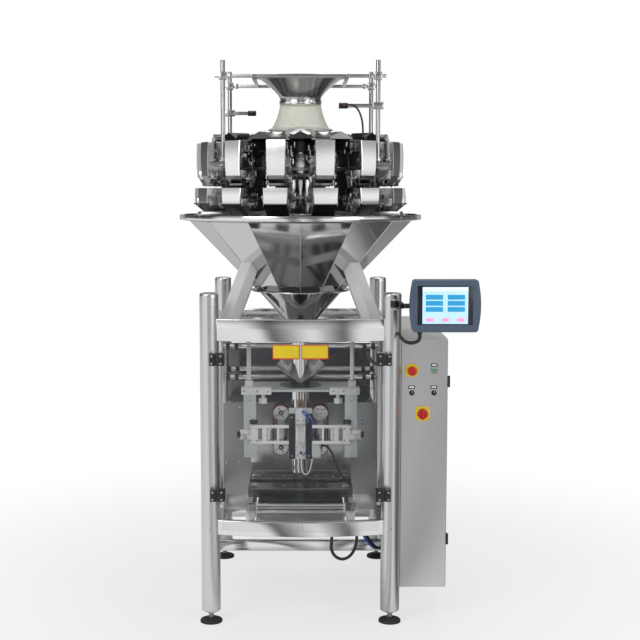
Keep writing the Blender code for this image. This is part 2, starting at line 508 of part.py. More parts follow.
def build_reel():
    half = REEL_WIDTH / 2
    profile = [(0, -REEL_OVERHANG), (MANDREL_RADIUS, -REEL_OVERHANG), (MANDREL_RADIUS, -half), (REEL_RADIUS, -half)]
    profile += [(REEL_RADIUS, half), (MANDREL_RADIUS, half), (MANDREL_RADIUS, REEL_OVERHANG), (0, REEL_OVERHANG)]
    piece("film_reel", FILM, turned(profile, (0, REEL_Y, REEL_Z), "X", 32, closed=False), origin=(0, REEL_Y, REEL_Z))


# ---------------------------------------------------------------- weigher

STEP = 2 * math.pi / HEADS
FRONT = -math.pi / 2
FACET = math.cos(STEP / 2)  # a facet's middle lies this share of the vertex radius from the axis


def build_cone():
    (rim_r, rim_z), (neck_r, neck_z), (lip_r, lip_z) = CONE_RIM, CONE_NECK, CONE_LIP
    wall = CONE_WALL
    profile = [(neck_r, neck_z), (rim_r, rim_z), (lip_r, lip_z - LIP_HEIGHT), (lip_r, lip_z)]
    profile += [(lip_r - wall, lip_z), (lip_r - wall, lip_z - LIP_HEIGHT + wall), (rim_r - wall / 2, rim_z + wall)]
    profile += [(neck_r - wall, neck_z + wall / 2), (neck_r - wall, neck_z)]
    piece("collecting_cone", MIRROR, turned(profile, steps=HEADS, phase=FRONT))

    mouth, (throat, throat_z) = FUNNEL_MOUTH, FUNNEL_NECK
    top = neck_z - GAP
    spout = TUBE_RADIUS - TUBE_WALL - GAP
    wall = 0.002
    funnel = [(neck_r + 0.02, top - wall), (neck_r + 0.02, top), (mouth, top), (throat, throat_z), (spout - wall, TUBE_TOP + 0.008)]
    funnel += [(spout - wall, TUBE_TOP - 0.04), (spout, TUBE_TOP - 0.04), (spout, TUBE_TOP + 0.006), (throat + wall, throat_z - wall), (mouth + wall, top - wall)]
    piece("discharge_funnel", MIRROR, turned(funnel, steps=ROUND_STEPS))

    foot_top = SIDE_TOP[1] - LAP + 0.010
    legs, plates = [], []
    for side in (-1, 1):
        for y, top_y in ((-0.330, -0.205), (0.330, 0.205)):
            legs.append(bar((side * 0.332, y, foot_top - 0.006), (side * 0.224, top_y, 1.620), 0.062, 0.055))
            plates.append(block(tuple(sorted((side * 0.285, side * (POST_X + 0.015)))), (y - 0.022, y + 0.042), (SIDE_TOP[1] - LAP + GAP, foot_top)))
    braces = [block((-0.29, 0.29), (y - 0.018, y + 0.018), (SIDE_TOP[1] - LAP + GAP * 2, foot_top - 0.001)) for y in (-0.330, 0.330)]
    rim_clear = rim_r + GAP / FACET
    neck_clear = neck_r + GAP / FACET
    slope = (rim_clear - neck_clear) / (rim_z - neck_z)
    envelope = [(0, neck_z - 0.02), (neck_clear - slope * 0.02 + GAP, neck_z - 0.02), (rim_clear + GAP, rim_z), (0, rim_z)]
    cutter = turned(envelope, steps=HEADS, phase=FRONT, closed=False)
    runs = joined(*[block(tuple(sorted((side * 0.290, side * 0.330))), (-0.33, 0.33), (SIDE_TOP[1] - LAP + GAP * 3, foot_top - 0.002)) for side in (-1, 1)])
    piece("cone_stand", STEEL, joined(*plates), [joined(*braces), runs, joined(*legs)], [cutter])


def build_weigher_body():
    column = [(0, COLUMN_LOW), (COLUMN_RADIUS, COLUMN_LOW), (COLUMN_RADIUS, DRUM_Z[0] - 0.02), (DRUM_RADIUS - 0.006, DRUM_Z[0])]
    column += [(DRUM_RADIUS, DRUM_Z[0] + 0.01), (DRUM_RADIUS, DRUM_Z[1] - 0.01), (DRUM_RADIUS - 0.01, DRUM_Z[1]), (0, DRUM_Z[1])]
    half = ARM_WIDTH / 2
    low_arm = block((-half, half), (-CONE_LIP[0] + 0.001, -COLUMN_RADIUS + 0.03), (CONE_LIP[1] + GAP, CONE_LIP[1] + 0.018))
    high_arm = block((-half, half), (-ROD_CIRCLE - 0.018, -DRUM_RADIUS + 0.03), (GANTRY_LOW - 0.022, GANTRY_LOW - GAP))
    angles = [turn * ARM_ANGLE * STEP + turn_back for turn, turn_back in ((1, 0), (-1, 0), (1, math.pi), (-1, math.pi))]
    arms = [swung(joined(low_arm, high_arm), angle) for angle in angles]
    piece("weigher_body", STEEL, turned(column, steps=ROUND_STEPS, closed=False), [joined(*arms)])

    seat = DRUM_Z[1] + GAP
    pan_in, pan_out = PAN_RADII
    wall = 0.003
    spread = math.tan(STEP / 2) * 0.92

    def pan():
        points = []
        for radius, drop in ((pan_in, 0.0), (pan_out, 0.002)):
            wide = min(radius * spread, 0.042)
            low, high = PAN_Z[0] - drop, PAN_Z[1] - drop
            section = [(-wide, low - wall), (wide, low - wall), (wide, high), (wide - wall, high), (wide - wall, low),
                       (-wide + wall, low), (-wide + wall, high), (-wide, high)]
            points += [(x, -radius, z) for x, z in section]
        sides = [[i, (i + 1) % 8, 8 + (i + 1) % 8, 8 + i] for i in range(8)]
        caps = [[0, 1, 4, 5], [1, 2, 3, 4], [0, 5, 6, 7]]
        return points, sides + caps + [[i + 8 for i in cap][::-1] for cap in caps]

    pans = joined(*[swung(pan(), (i + 0.5) * STEP) for i in range(HEADS)])
    hub = ring(0.130, pan_in + 0.020, seat, PAN_Z[0] - 0.001, steps=ROUND_STEPS)
    piece("feeder_pans", STEEL, hub, [pans])
    cone = [(0, seat), (0.050, seat), (0.050, DISPERSION_Z[0]), (DISPERSION_RADIUS - 0.004, DISPERSION_Z[0] + 0.004)]
    cone += [(DISPERSION_RADIUS, DISPERSION_Z[0] + 0.008), (0.030, DISPERSION_Z[1]), (0, DISPERSION_Z[1] + 0.004)]
    piece("dispersion_cone", MIRROR, turned(cone, steps=ROUND_STEPS, closed=False))


def hopper(outer, inner, width, foot_outer, foot_inner, levels, wall, closed_foot):
    """A bucket facing -Y. levels is (lowest, knee, top). The sheet narrows from the knee to its foot."""
    low, knee, top = levels
    grow = 0.008
    rows = [(outer, inner, width / 2 + grow / 2, top, top), (outer, inner, width / 2, knee, knee),
            (foot_outer, foot_inner, width / 2 - 0.006, *((low, low) if closed_foot else (knee - RIM_DROP, low)))]

    def loop(row, inset, lift=0.0):
        out, into, half, outer_z, inner_z = row
        slope = (outer_z - inner_z) / (out - into)
        out, into, half = out - inset, into + inset, half - inset
        outer_z, inner_z = outer_z - slope * inset, inner_z + slope * inset
        return [(-half, -out, outer_z + lift), (half, -out, outer_z + lift), (half, -into, inner_z + lift), (-half, -into, inner_z + lift)]

    loops = [loop(row, 0) for row in rows[::-1]]
    inside = [loop(row, wall, wall if closed_foot and row is rows[2] else 0.0) for row in rows]
    loops += inside
    points = [p for corners in loops for p in corners]
    faces = [[4 * a + i, 4 * a + (i + 1) % 4, 4 * (a + 1) + (i + 1) % 4, 4 * (a + 1) + i] for a in range(5) for i in range(4)]
    if closed_foot:
        faces += [[3, 2, 1, 0], [20, 21, 22, 23]]
    else:
        faces += [[20 + i, 20 + (i + 1) % 4, (i + 1) % 4, i] for i in range(4)]
    return points, faces


def carriers(core, hopper_in, heights, angles):
    """A collar round the drum or column, and a spoke from it to the back of each hopper."""
    collar = ring(core + GAP, core + 0.012, *heights, steps=ROUND_STEPS)
    spoke = block((-0.009, 0.009), (-hopper_in + 0.013, -core - 0.007), (heights[0] + 0.001, heights[1] - 0.0015))
    return collar, joined(*[swung(spoke, a) for a in angles])


def build_hoppers():
    angles = [(i + 0.5) * STEP for i in range(HEADS)]
    feed = hopper(FEED_OUT, FEED_IN, FEED_WIDTH, FEED_OUT - 0.030, FEED_IN + 0.012, FEED_Z, HOPPER_WALL, True)
    carrier, spokes = carriers(DRUM_RADIUS, FEED_IN, FEED_SPOKE_Z, angles)
    hook = block((-0.012, 0.012), (-FEED_IN - HOPPER_WALL / 2, -FEED_IN + 0.030), (2.026, 2.042))
    hooks, buckets = [joined(*[swung(shape, a) for a in angles]) for shape in (hook, feed)]
    piece("feed_hoppers", STEEL, carrier, [spokes, hooks, buckets])

    weigh = hopper(WEIGH_OUT, WEIGH_IN, WEIGH_WIDTH, WEIGH_OUT, GATE_FOOT, WEIGH_Z, HOPPER_WALL, False)
    carrier, spokes = carriers(COLUMN_RADIUS, WEIGH_IN, WEIGH_SPOKE_Z, angles)
    hook = block((-0.012, 0.012), (-WEIGH_IN - HOPPER_WALL / 2, -WEIGH_IN + 0.030), (1.899, 1.913))
    hooks, buckets = [joined(*[swung(shape, a) for a in angles]) for shape in (hook, weigh)]
    piece("weigh_hoppers", STEEL, carrier, [spokes, hooks, buckets])

    low, knee, _ = WEIGH_Z
    run = np.array([WEIGH_OUT - GATE_FOOT, knee - RIM_DROP - low])
    run /= np.linalg.norm(run)
    under = np.array([run[1], -run[0]])
    clear = GAP * 2
    start = np.array([GATE_FOOT, low]) - run * 0.004 + under * clear
    end = np.array([WEIGH_OUT, knee - RIM_DROP]) + under * clear
    knuckle = 0.005
    outline = [start, end - run * 0.002, end + run * knuckle, end + run * knuckle + under * knuckle,
               end - run * 0.002 + under * knuckle, end - run * 0.004 + under * GATE_THICKNESS, start + under * GATE_THICKNESS]
    section = [(-radius, z) for radius, z in outline]
    half = WEIGH_WIDTH / 2 - 0.001
    hinge = end + run * 0.003 + under * 0.003
    for number, angle in enumerate(angles, 1):
        pivot = swung(([(0, -hinge[0], hinge[1])], []), angle)[0][0]
        piece(f"weigh_gate_{number:02d}", MIRROR, swung(prism(section, "X", -half, half), angle), origin=pivot)


# ---------------------------------------------------------------- infeed


def build_infeed():
    (mouth, mouth_z), (neck, neck_z) = INFEED_MOUTH, INFEED_NECK
    wall = 0.002
    curve = []
    for i in range(5):
        share = i / 4
        curve.append((mouth + (neck - mouth) * math.sin(share * math.pi / 2) ** 0.9, mouth_z + (neck_z - mouth_z) * share))
    inner = [(r - 0.001, z) for r, z in curve] + [(neck - 0.001, BAND_LOW)]
    rest = BAR_Z + GANTRY_BAR / 2 + GAP
    outer = [(neck + 0.003, BAND_LOW), (neck + 0.003, neck_z - 0.003)] + [(r + wall, z - wall) for r, z in curve[::-1][1:-1]]
    outer += [(mouth + wall, rest), (mouth + 0.014, rest), (mouth + 0.014, mouth_z)]
    piece("infeed_funnel", MIRROR, turned(inner + outer, steps=ROUND_STEPS))
    top = neck - 0.001 - GAP
    foot, foot_z = SKIRT_FOOT
    skirt = [(top - wall, neck_z - 0.010), (top - wall, BAND_LOW), (foot - wall, foot_z), (foot, foot_z), (top, BAND_LOW - 0.001), (top, neck_z - 0.010)]
    piece("infeed_skirt", SKIRT, turned(skirt, steps=ROUND_STEPS))

    turns = [1, -1]
    places = [swung(([(0, -ROD_CIRCLE, 0)], []), t * ARM_ANGLE * STEP + back)[0][0][:2] for back in (0, math.pi) for t in turns]
    rod = [(0, GANTRY_LOW), (GANTRY_ROD, GANTRY_LOW), (GANTRY_ROD, GANTRY_TOP - 0.004), (0.006, GANTRY_TOP), (0, GANTRY_TOP)]
    rods = joined(*[turned(rod, (x, y, 0), steps=12, closed=False) for x, y in places])
    rod_x, rod_y = abs(places[0][0]), abs(places[0][1])
    half = GANTRY_BAR / 2
    rows = joined(*[block((-rod_x - 0.036, rod_x + 0.036), (y - half, y + half), (BAR_Z - half, BAR_Z + half)) for y in (-rod_y, rod_y)])
    columns = joined(*[block((x - half, x + half), (-rod_y - 0.02, rod_y + 0.02), (BAR_Z - half + 0.001, BAR_Z + half)) for x in (-mouth - 0.0115, mouth + 0.0115)])
    clamps = joined(*[cube_at((x, y, BAR_Z), (0.030, 0.030, 0.034)) for x, y in places])
    arms, heads = [], []
    for x, y, tip in ((-rod_x, rod_y, -0.236), (rod_x, -rod_y, 0.190)):
        arms.append(block(tuple(sorted((x, tip))), (y - 0.006, y + 0.006), (SENSOR_Z - 0.004, SENSOR_Z + 0.004)))
        heads.append(disc(0.013, -0.020, 0.020, (tip, y, SENSOR_Z), "X", 12))
        heads.append(cube_at((x, y, SENSOR_Z), (0.028, 0.028, 0.022)))
    piece("infeed_gantry", STEEL, rods, [clamps, rows, columns, joined(*arms), joined(*heads)])


# ---------------------------------------------------------------- cords

# The conduit's way from the gland under the screen's arm, left and back to the right front post.
CONDUIT_RADIUS = 0.008
CONDUIT_ROUTE = [(0.5121, -0.5515, 1.3277), (0.5121, -0.5515, 1.3217), (0.5121, -0.5515, 1.3150), (0.507, -0.551, 1.300), (0.490, -0.543, 1.290),
                 (0.474, -0.530, 1.287), (0.460, -0.512, 1.288), (0.449, -0.492, 1.293), (0.440, -0.472, 1.301),
                 (0.434, -0.455, 1.310), (0.4285, -0.4399, 1.318)]
# The cable loop that hangs from the underside of the front lower beam, at its right.
LOOP_RADIUS = 0.007
LOOP_ROUTE = [(0.140, -0.4300, 0.4067), (0.140, -0.4300, 0.391), (0.139, -0.427, 0.372), (0.138, -0.422, 0.352),
              (0.142, -0.415, 0.330), (0.151, -0.407, 0.311), (0.166, -0.400, 0.296), (0.184, -0.395, 0.288),
              (0.203, -0.393, 0.290), (0.220, -0.394, 0.300), (0.233, -0.398, 0.316), (0.242, -0.404, 0.335),
              (0.248, -0.410, 0.356), (0.251, -0.416, 0.376), (0.252, -0.4190, 0.391), (0.252, -0.4190, 0.4067)]


def cord(name, route, radius, sides):
    """A tube along a smooth curve through the route's points."""
    route = np.array(route)
    ends = np.vstack([2 * route[0] - route[1], route, 2 * route[-1] - route[-2]])
    points = []
    for i in range(len(route) - 1):
        p0, p1, p2, p3 = ends[i : i + 4]
        for share in (0, 0.5):
            points.append(0.5 * (2 * p1 + (p2 - p0) * share + (2 * p0 - 5 * p1 + 4 * p2 - p3) * share**2
                                 + (3 * p1 - p0 - 3 * p2 + p3) * share**3))
    points.append(route[-1])
    curve = bpy.data.curves.new(name, "CURVE")
    curve.dimensions = "3D"
    line = curve.splines.new("POLY")
    line.points.add(len(points) - 1)
    for target, point in zip(line.points, points):
        target.co = (*point, 1)
    curve.bevel_depth = radius
    curve.bevel_resolution = sides
    curve.use_fill_caps = True
    curve.materials.append(BLACK)
    made = bpy.data.objects.new(name, curve)
    bpy.context.scene.collection.objects.link(made)
    made.parent = machine


build_frame()
build_back_wall()
build_doors()
build_cabinet()
build_screen()
build_forming_set()
build_belts()
build_sealers()
build_reel()
build_cone()
build_weigher_body()
build_hoppers()
build_infeed()
cord("hmi_conduit", CONDUIT_ROUTE, CONDUIT_RADIUS, 2)
cord("service_loop", LOOP_ROUTE, LOOP_RADIUS, 2)

# The origin is the bottom centre of the machine's box, without the cords.
bpy.context.view_layer.update()
graph = bpy.context.evaluated_depsgraph_get()
solids = [o for o in bpy.context.scene.objects if o.type == "MESH" and not o.hide_render]
corners = np.array([o.matrix_world @ v.co for o in solids for v in o.evaluated_get(graph).data.vertices])
low, high = corners.min(axis=0), corners.max(axis=0)
machine.location = (-(low[0] + high[0]) / 2, -(low[1] + high[1]) / 2, -low[2])
print("moved by", tuple(machine.location), "box", low, high)
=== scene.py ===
"""The looks of a vertical form fill sealer with a multihead weigher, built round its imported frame.

Shapes are written in machine coordinates, in metres: x and y from the axis of the forming tube, z from the
floor. make() moves every shape to where the frame has that axis.
"""

from math import copysign, cos, pi, radians, sin, tan

import bmesh
import bpy
import numpy as np
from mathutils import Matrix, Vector


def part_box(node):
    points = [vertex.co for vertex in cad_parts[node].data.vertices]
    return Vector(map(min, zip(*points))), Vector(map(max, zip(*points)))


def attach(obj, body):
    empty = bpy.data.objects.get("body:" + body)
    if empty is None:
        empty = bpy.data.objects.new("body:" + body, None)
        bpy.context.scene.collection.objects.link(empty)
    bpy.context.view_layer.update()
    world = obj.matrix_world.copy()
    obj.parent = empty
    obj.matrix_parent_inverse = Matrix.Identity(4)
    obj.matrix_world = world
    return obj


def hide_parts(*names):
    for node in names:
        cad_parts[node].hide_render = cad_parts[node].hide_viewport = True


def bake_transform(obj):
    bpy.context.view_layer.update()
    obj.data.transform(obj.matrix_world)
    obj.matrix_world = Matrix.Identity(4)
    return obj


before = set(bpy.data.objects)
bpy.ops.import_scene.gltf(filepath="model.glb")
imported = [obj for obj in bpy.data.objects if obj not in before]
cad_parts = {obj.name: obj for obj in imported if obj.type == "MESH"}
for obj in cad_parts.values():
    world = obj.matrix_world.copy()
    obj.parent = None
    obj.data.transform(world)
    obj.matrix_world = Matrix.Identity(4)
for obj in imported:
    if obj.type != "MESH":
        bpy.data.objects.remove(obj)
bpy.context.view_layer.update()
tube_low, tube_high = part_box("forming_tube")
AXIS = np.array([(tube_low[0] + tube_high[0]) / 2, (tube_low[1] + tube_high[1]) / 2, 0.0])

# Driving sizes, the same as the frame's
POST_X, POST_FRONT, POST_REAR, POST_RADIUS, POST_LOW, POST_TOP = 0.403, -0.4, 0.59, 0.0425, 0.055, 1.493
BOW, BEAM_DEPTH = 0.05, 0.03
TOP_BEAM, LOW_BEAM = (1.28, 1.38), (0.407, 0.475)
SIDE_TOP, SIDE_MID, SIDE_LOW, SIDE_WIDTH = (1.23, 1.33), (0.47, 0.53), (0.22, 0.28), 0.04
DOOR_Z, DOOR_END, HINGE_X, HINGE_FRONT, HINGE_HALF, HINGE_HEIGHTS = (0.43,
    1.275), 0.352, 0.3718, -0.475, 0.026, (0.597, 1.204)
CABINET_Y, CABINET_Z = (-0.4, 0.6), (0.16, 1.288)
ESTOP, START, SELECTORS, MAIN_SWITCH = (0.4935, 1.148), (0.592, 1.148), ((0.4935, 1.049),
    (0.592, 1.049)), (0.543, 0.954)
SCREEN_X, SCREEN_Y, SCREEN_Z, ARM_Z = (0.4617, 0.7625), (-0.64, -0.59), (1.344, 1.568), 1.45
ARM_PIVOT, CONDUIT_END = (0.41, -0.462), (0.5121, -0.5515)
TUBE_RADIUS, TUBE_LOW, TUBE_TOP = 0.042, 0.6, 1.29
PULLEY_X, PULLEY_RADIUS, PULLEY_HEIGHTS = 0.093, 0.036, (0.722, 0.888)
HEADS = 14
STEP = 2 * pi / HEADS
FRONT = -pi / 2
ARM_TURNS = (2 * STEP, -2 * STEP, pi + 2 * STEP, pi - 2 * STEP)

# ---------------------------------------------------------------- camera

CAMERA_BACK, CAMERA_HEIGHT, CAMERA_TILT, LENS_MM, SIDE_SHIFT, FAR_CLIP = 5.8, 1.94, 84, 69.2, 0.0305, 60
scene = bpy.context.scene
camera = bpy.data.objects.new("camera", bpy.data.cameras.new("camera"))
scene.collection.objects.link(camera)
scene.camera = camera
camera.location = (AXIS[0], AXIS[1] - CAMERA_BACK, CAMERA_HEIGHT)
camera.rotation_euler = (radians(CAMERA_TILT), 0, 0)
camera.data.lens, camera.data.shift_x, camera.data.clip_end = LENS_MM, SIDE_SHIFT, FAR_CLIP


# ---------------------------------------------------------------- surfaces: (points, faces)


def grid(points, wrap_u=False, wrap_v=False, caps=False):
    """Quads over a grid of points, joined round where it wraps. Caps close the first and the last row."""
    nu, nv = points.shape[:2]
    i = np.arange(nu if wrap_u else nu - 1)[:, None]
    j = np.arange(nv if wrap_v else nv - 1)[None, :]
    corners = (i * nv + j, i * nv + (j + 1) % nv, (i + 1) % nu * nv + (j + 1) % nv, (i + 1) % nu * nv + j)
    faces = np.stack(np.broadcast_arrays(*corners), -1).reshape(-1, 4).tolist()
    if caps:
        faces += [list(range(nv))[::-1], list(range((nu - 1) * nv, nu * nv))]
    return points.reshape(-1, 3), faces


def joined(*parts):
    points, faces, count = [], [], 0
    for more, quads in parts:
        faces += [[k + count for k in face] for face in quads]
        points.append(more)
        count += len(more)
    return np.vstack(points), faces


ORDER = {"X": [2, 0, 1], "Y": [0, 2, 1], "Z": [0, 1, 2]}


def mid(centre, half):
    return centre - half, centre + half


def around_steps(steps):
    return np.arange(steps) * 2 * pi / steps


def polar(r, t, z):
    """Points at radius r, angle t and height z: x = r cos t, y = r sin t."""
    return np.stack(np.broadcast_arrays(r * np.cos(t), r * np.sin(t), z), -1)


def rounded(low, high, edge, bend):
    """(inset, level) pairs of two quarter circles, one that opens at the low end and one that closes at the
    high."""
    lower = [(edge * (1 - sin(a)), edge * (1 - cos(a))) for a in bend]
    return [(inset, low + rise) for inset, rise in lower] + [(inset, high - rise) for inset,
        rise in lower[::-1]]


QUARTER = {count: np.linspace(0, pi / 2, count + 1) for count in range(2, 7)}


def turned(profile, centre=(0, 0, 0), axis="Z", steps=48, phase=0.0, closed=True):
    """(radius, height) pairs turned round an axis. A closed profile is a ring; an open one is capped at
    both ends."""
    r, h = np.array(profile, float).T[:, :, None]
    local = polar(r, phase + around_steps(steps), h)
    return grid(local[..., ORDER[axis]] + np.array(centre), wrap_u=closed, wrap_v=True, caps=not closed)


def rod(radius, low, high, centre=(0, 0, 0), axis="Z", steps=24, soft=0.0008):
    """A round bar with a small chamfer at both ends."""
    edge = min(soft, radius / 3)
    profile = [(radius - edge, low), (radius, low + edge), (radius, high - edge), (radius - edge, high)]
    return turned(profile, centre, axis, steps, closed=False)


def block(x0, x1, y0, y1, z0, z1, r=0.002):
    """A block with round edges: rounded rectangles stacked upwards, drawn in by a quarter circle at each
    end."""
    x, y, z = (x0, x1), (y0, y1), (z0, z1)
    r = min([r] + [(b - a) / 2.3 for a, b in (x, y, z)])
    t = QUARTER[2]
    inset = np.concatenate([r * (1 - np.sin(t)), r * (1 - np.sin(t[::-1]))])
    rise = np.concatenate([z[0] + r * (1 - np.cos(t)), z[1] - r * (1 - np.cos(t[::-1]))])
    loops = []
    for k, (sx, sy) in enumerate(((1, 1), (-1, 1), (-1, -1), (1, -1))):
        a = t + k * pi / 2
        bend = r - inset + 0.12 * r
        cx = (x[1] if sx > 0 else x[0]) - sx * (inset + bend)
        cy = (y[1] if sy > 0 else y[0]) - sy * (inset + bend)
        loops.append(np.stack([cx[:, None] + bend[:, None] * np.cos(a), cy[:, None] + bend[:, None]
                    * np.sin(a), np.repeat(rise[:, None], len(a), 1)], -1))
    return grid(np.concatenate(loops, 1), wrap_v=True, caps=True)


def cube(centre, size, r=0.002):
    return block(*[c + sign * s / 2 for c, s in zip(centre, size) for sign in (-1, 1)], r)


def prism(outline, along, low, high, edge=0.0):
    """An outline drawn out along an axis. With an edge, both ends draw in towards the outline's middle."""
    flat = np.array(outline, float)
    middle = flat.mean(0)
    reach = np.linalg.norm(flat - middle, axis=1, keepdims=True)
    bend = QUARTER[3] if edge else np.array([pi / 2])
    rows = [np.column_stack([middle + (flat - middle) * (1 - inset / reach), np.full(len(flat), level)])[:,
            ORDER[along]] for inset, level in rounded(low, high, edge, bend)]
    return grid(np.array(rows), wrap_v=True, caps=True)


def through(route, per=6):
    """A Catmull-Rom curve through the route's points, with per steps in each span."""
    route = np.array(route, float)
    ends = np.vstack([2 * route[0] - route[1], route, 2 * route[-1] - route[-2]])
    s = np.arange(per)[:, None] / per
    spans = [0.5 * (2 * b + (c - a) * s + (2 * a - 5 * b + 4 * c - d) * s ** 2 + (3 * b - a - 3 * c + d)
            * s ** 3) for a, b, c, d in zip(ends, ends[1:], ends[2:], ends[3:])]
    return np.vstack(spans + [route[-1:]])


def hose(path, radius, sides=12, ridge=0.0, pitch=0.004):
    """A round tube along a path. A ridge swells it in waves, one for each pitch of length."""
    path = np.array(path, float)
    run = np.gradient(path, axis=0)
    run /= np.linalg.norm(run, axis=1, keepdims=True)
    length = np.concatenate([[0], np.cumsum(np.linalg.norm(np.diff(path, axis=0), axis=1))])
    side = np.cross(run[0], (0.31, 0.52, 0.79))
    rows, t = [], around_steps(sides)
    for point, along, far in zip(path, run, length):
        side = side - along * side.dot(along)
        side /= np.linalg.norm(side)
        up = np.cross(along, side)
        swell = radius - ridge * (0.5 + 0.5 * cos(2 * pi * far / pitch))
        rows.append(point + swell * (np.outer(np.cos(t), side) + np.outer(np.sin(t), up)))
    return grid(np.array(rows), wrap_v=True, caps=True)


def bar_between(start, end, width, depth, r=0.003):
    """A soft-edged square bar between two points, its depth as near upright as it can be."""
    a, b = np.array(start, float), np.array(end, float)
    run = (b - a) / np.linalg.norm(b - a)
    side = np.cross(run, (0, 0, 1))
    side /= np.linalg.norm(side)
    up = np.cross(side, run)
    flat, faces = block(-width / 2, width / 2, -depth / 2, depth / 2, 0, np.linalg.norm(b - a), r)
    return a + flat[:, :1] * side + flat[:, 1:2] * up + flat[:, 2:] * run, faces


def mirrored(part):
    return part[0] * np.array([-1, 1, 1]), [face[::-1] for face in part[1]]


def both_sides(*parts):
    return joined(*parts, *[mirrored(part) for part in parts])


def sided(side):
    """What turns a right-hand part into the one on the given side."""
    return mirrored if side < 0 else lambda part: part


def swung(part, angle):
    c, s = cos(angle), sin(angle)
    return part[0] @ np.array([[c, s, 0], [-s, c, 0], [0, 0, 1]]), part[1]


HEAD_TURNS = [(i + 0.5) * STEP for i in range(HEADS)]
SEAM_TURNS = [i * STEP for i in range(HEADS)]


def around(part, turns=HEAD_TURNS):
    return joined(*[swung(part, turn) for turn in turns])


def bow(x):
    """The bowed front line: POST_FRONT at the posts and BOW further forward at the middle, a parabola."""
    return POST_FRONT - BOW * (1 - (np.asarray(x) / POST_X) ** 2)


def bowed(x_range, offsets, z, r=0.003, steps=40):
    """A strip along the bowed line, whose section between two offsets and two heights has round corners."""
    (o0, o1), (z0, z1) = (offsets, z)
    t = QUARTER[3]
    r = min(r, (o1 - o0) / 2.05)
    section = []
    for k, (so, sz) in enumerate(((1, 1), (-1, 1), (-1, -1), (1, -1))):
        a = t + k * pi / 2
        section.append(np.stack([(o1 if so > 0 else o0) - so * r + r * np.cos(a), (z1 if sz > 0 else z0)
                    - sz * r + r * np.sin(a)], -1))
    section = np.vstack(section)
    x = np.linspace(*x_range, steps + 1)
    rows = np.stack(np.broadcast_arrays(x[:, None], bow(x)[:, None] + section[None, :, 0],
            section[None, :, 1]), -1)
    return grid(rows, wrap_v=True, caps=True)


def bolt(centre, axis="Y", way=-1, radius=0.004, height=0.003):
    """A cap screw's head with its round socket, standing off a face along way."""
    x, y, z = centre
    place = {"X": (0, y, z), "Y": (x, 0, z), "Z": (x, y, 0)}[axis]
    start = {"X": x, "Y": y, "Z": z}[axis]
    hole = radius * 0.5
    profile = [(0.0002, start), (radius, start), (radius, start + way * height * 0.8),
        (radius * 0.8, start + way * height), (hole, start + way * height),
        (hole, start + way * height * 0.4), (0.0002, start + way * height * 0.4)]
    return turned(profile if way > 0 else profile[::-1], place, axis, 12, closed=False)


# ---------------------------------------------------------------- finishes


class Sock:
    """A node's output. Arithmetic on it adds Math nodes."""

    def __init__(self, paint, socket):
        self.paint, self.socket = paint, socket

    def _math(self, operation, *values):
        return self.paint.node("ShaderNodeMath", {"operation": operation}, dict(enumerate(values)))

    def __add__(self, other):
        return self._math("ADD", self, other)

    def __sub__(self, other):
        return self._math("SUBTRACT", self, other)

    def __rsub__(self, other):
        return self._math("SUBTRACT", other, self)

    def __mul__(self, other):
        return self._math("MULTIPLY", self, other)

    def __pow__(self, other):
        return self._math("POWER", self, other)

    def over(self, edge):
        return self._math("GREATER_THAN", self, edge)


class Paint:
    """A material, with one method that makes every other node."""

    def __init__(self, name, owner=None, **fixed):
        self.material = owner or bpy.data.materials.new(name)
        self.material.use_nodes = True
        self.tree = self.material.node_tree
        self.shader = self.tree.nodes.get("Principled BSDF")
        for socket, value in fixed.items():
            self.shader.inputs[socket.replace("_", " ")].default_value = (*value, 1) if isinstance(value,
                tuple) else value

    def node(self, kind, settings=None, sockets=None, out=0):
        made = self.tree.nodes.new(kind)
        for name, value in (settings or {}).items():
            if name == "stops":
                ramp = made.color_ramp.elements
                for number, (spot, level) in enumerate(value):
                    stop = ramp[number] if number < 2 else ramp.new(spot)
                    stop.position, stop.color = spot, (level, level, level, 1)
            else:
                setattr(made, name, value)
        for name, value in (sockets or {}).items():
            if isinstance(value, Sock):
                self.tree.links.new(value.socket, made.inputs[name])
            else:
                made.inputs[name].default_value = value
        return Sock(self, made.outputs[out])

    def feed(self, **links):
        for name, sock in links.items():
            self.tree.links.new(sock.socket, self.shader.inputs[name.replace("_", " ")])

    def place(self, scale=(1, 1, 1)):
        spot = self.node("ShaderNodeTexCoord", out="Object")
        return self.node("ShaderNodeMapping", {}, {"Vector": spot, "Scale": scale})

    def split(self, vector):
        parts = self.node("ShaderNodeSeparateXYZ", {}, {"Vector": vector}).socket.node
        return [Sock(self, parts.outputs[axis]) for axis in "XYZ"]

    def ease(self, value, low, high, start, end):
        """From start to end as the value goes from low to high, along a smooth step."""
        return self.node("ShaderNodeMapRange", {"interpolation_type": "SMOOTHSTEP"},
            {"Value": value, 1: low, 2: high, 3: start, 4: end})

    def noise(self, scale, where=None, detail=3.0, rough=0.5):
        return self.node("ShaderNodeTexNoise", {}, {"Vector": where or self.place(), "Scale": scale,
                "Detail": detail, "Roughness": rough})

    def shades(self, mask, dark, light):
        return self.node("ShaderNodeMix", {"data_type": "RGBA"}, {0: mask, 6: (*dark, 1), 7: (*light, 1)},
            out=2)

    def bump(self, height, strength=0.2, distance=0.001):
        return self.node("ShaderNodeBump", {}, {"Height": height, "Strength": strength,
                "Distance": distance})


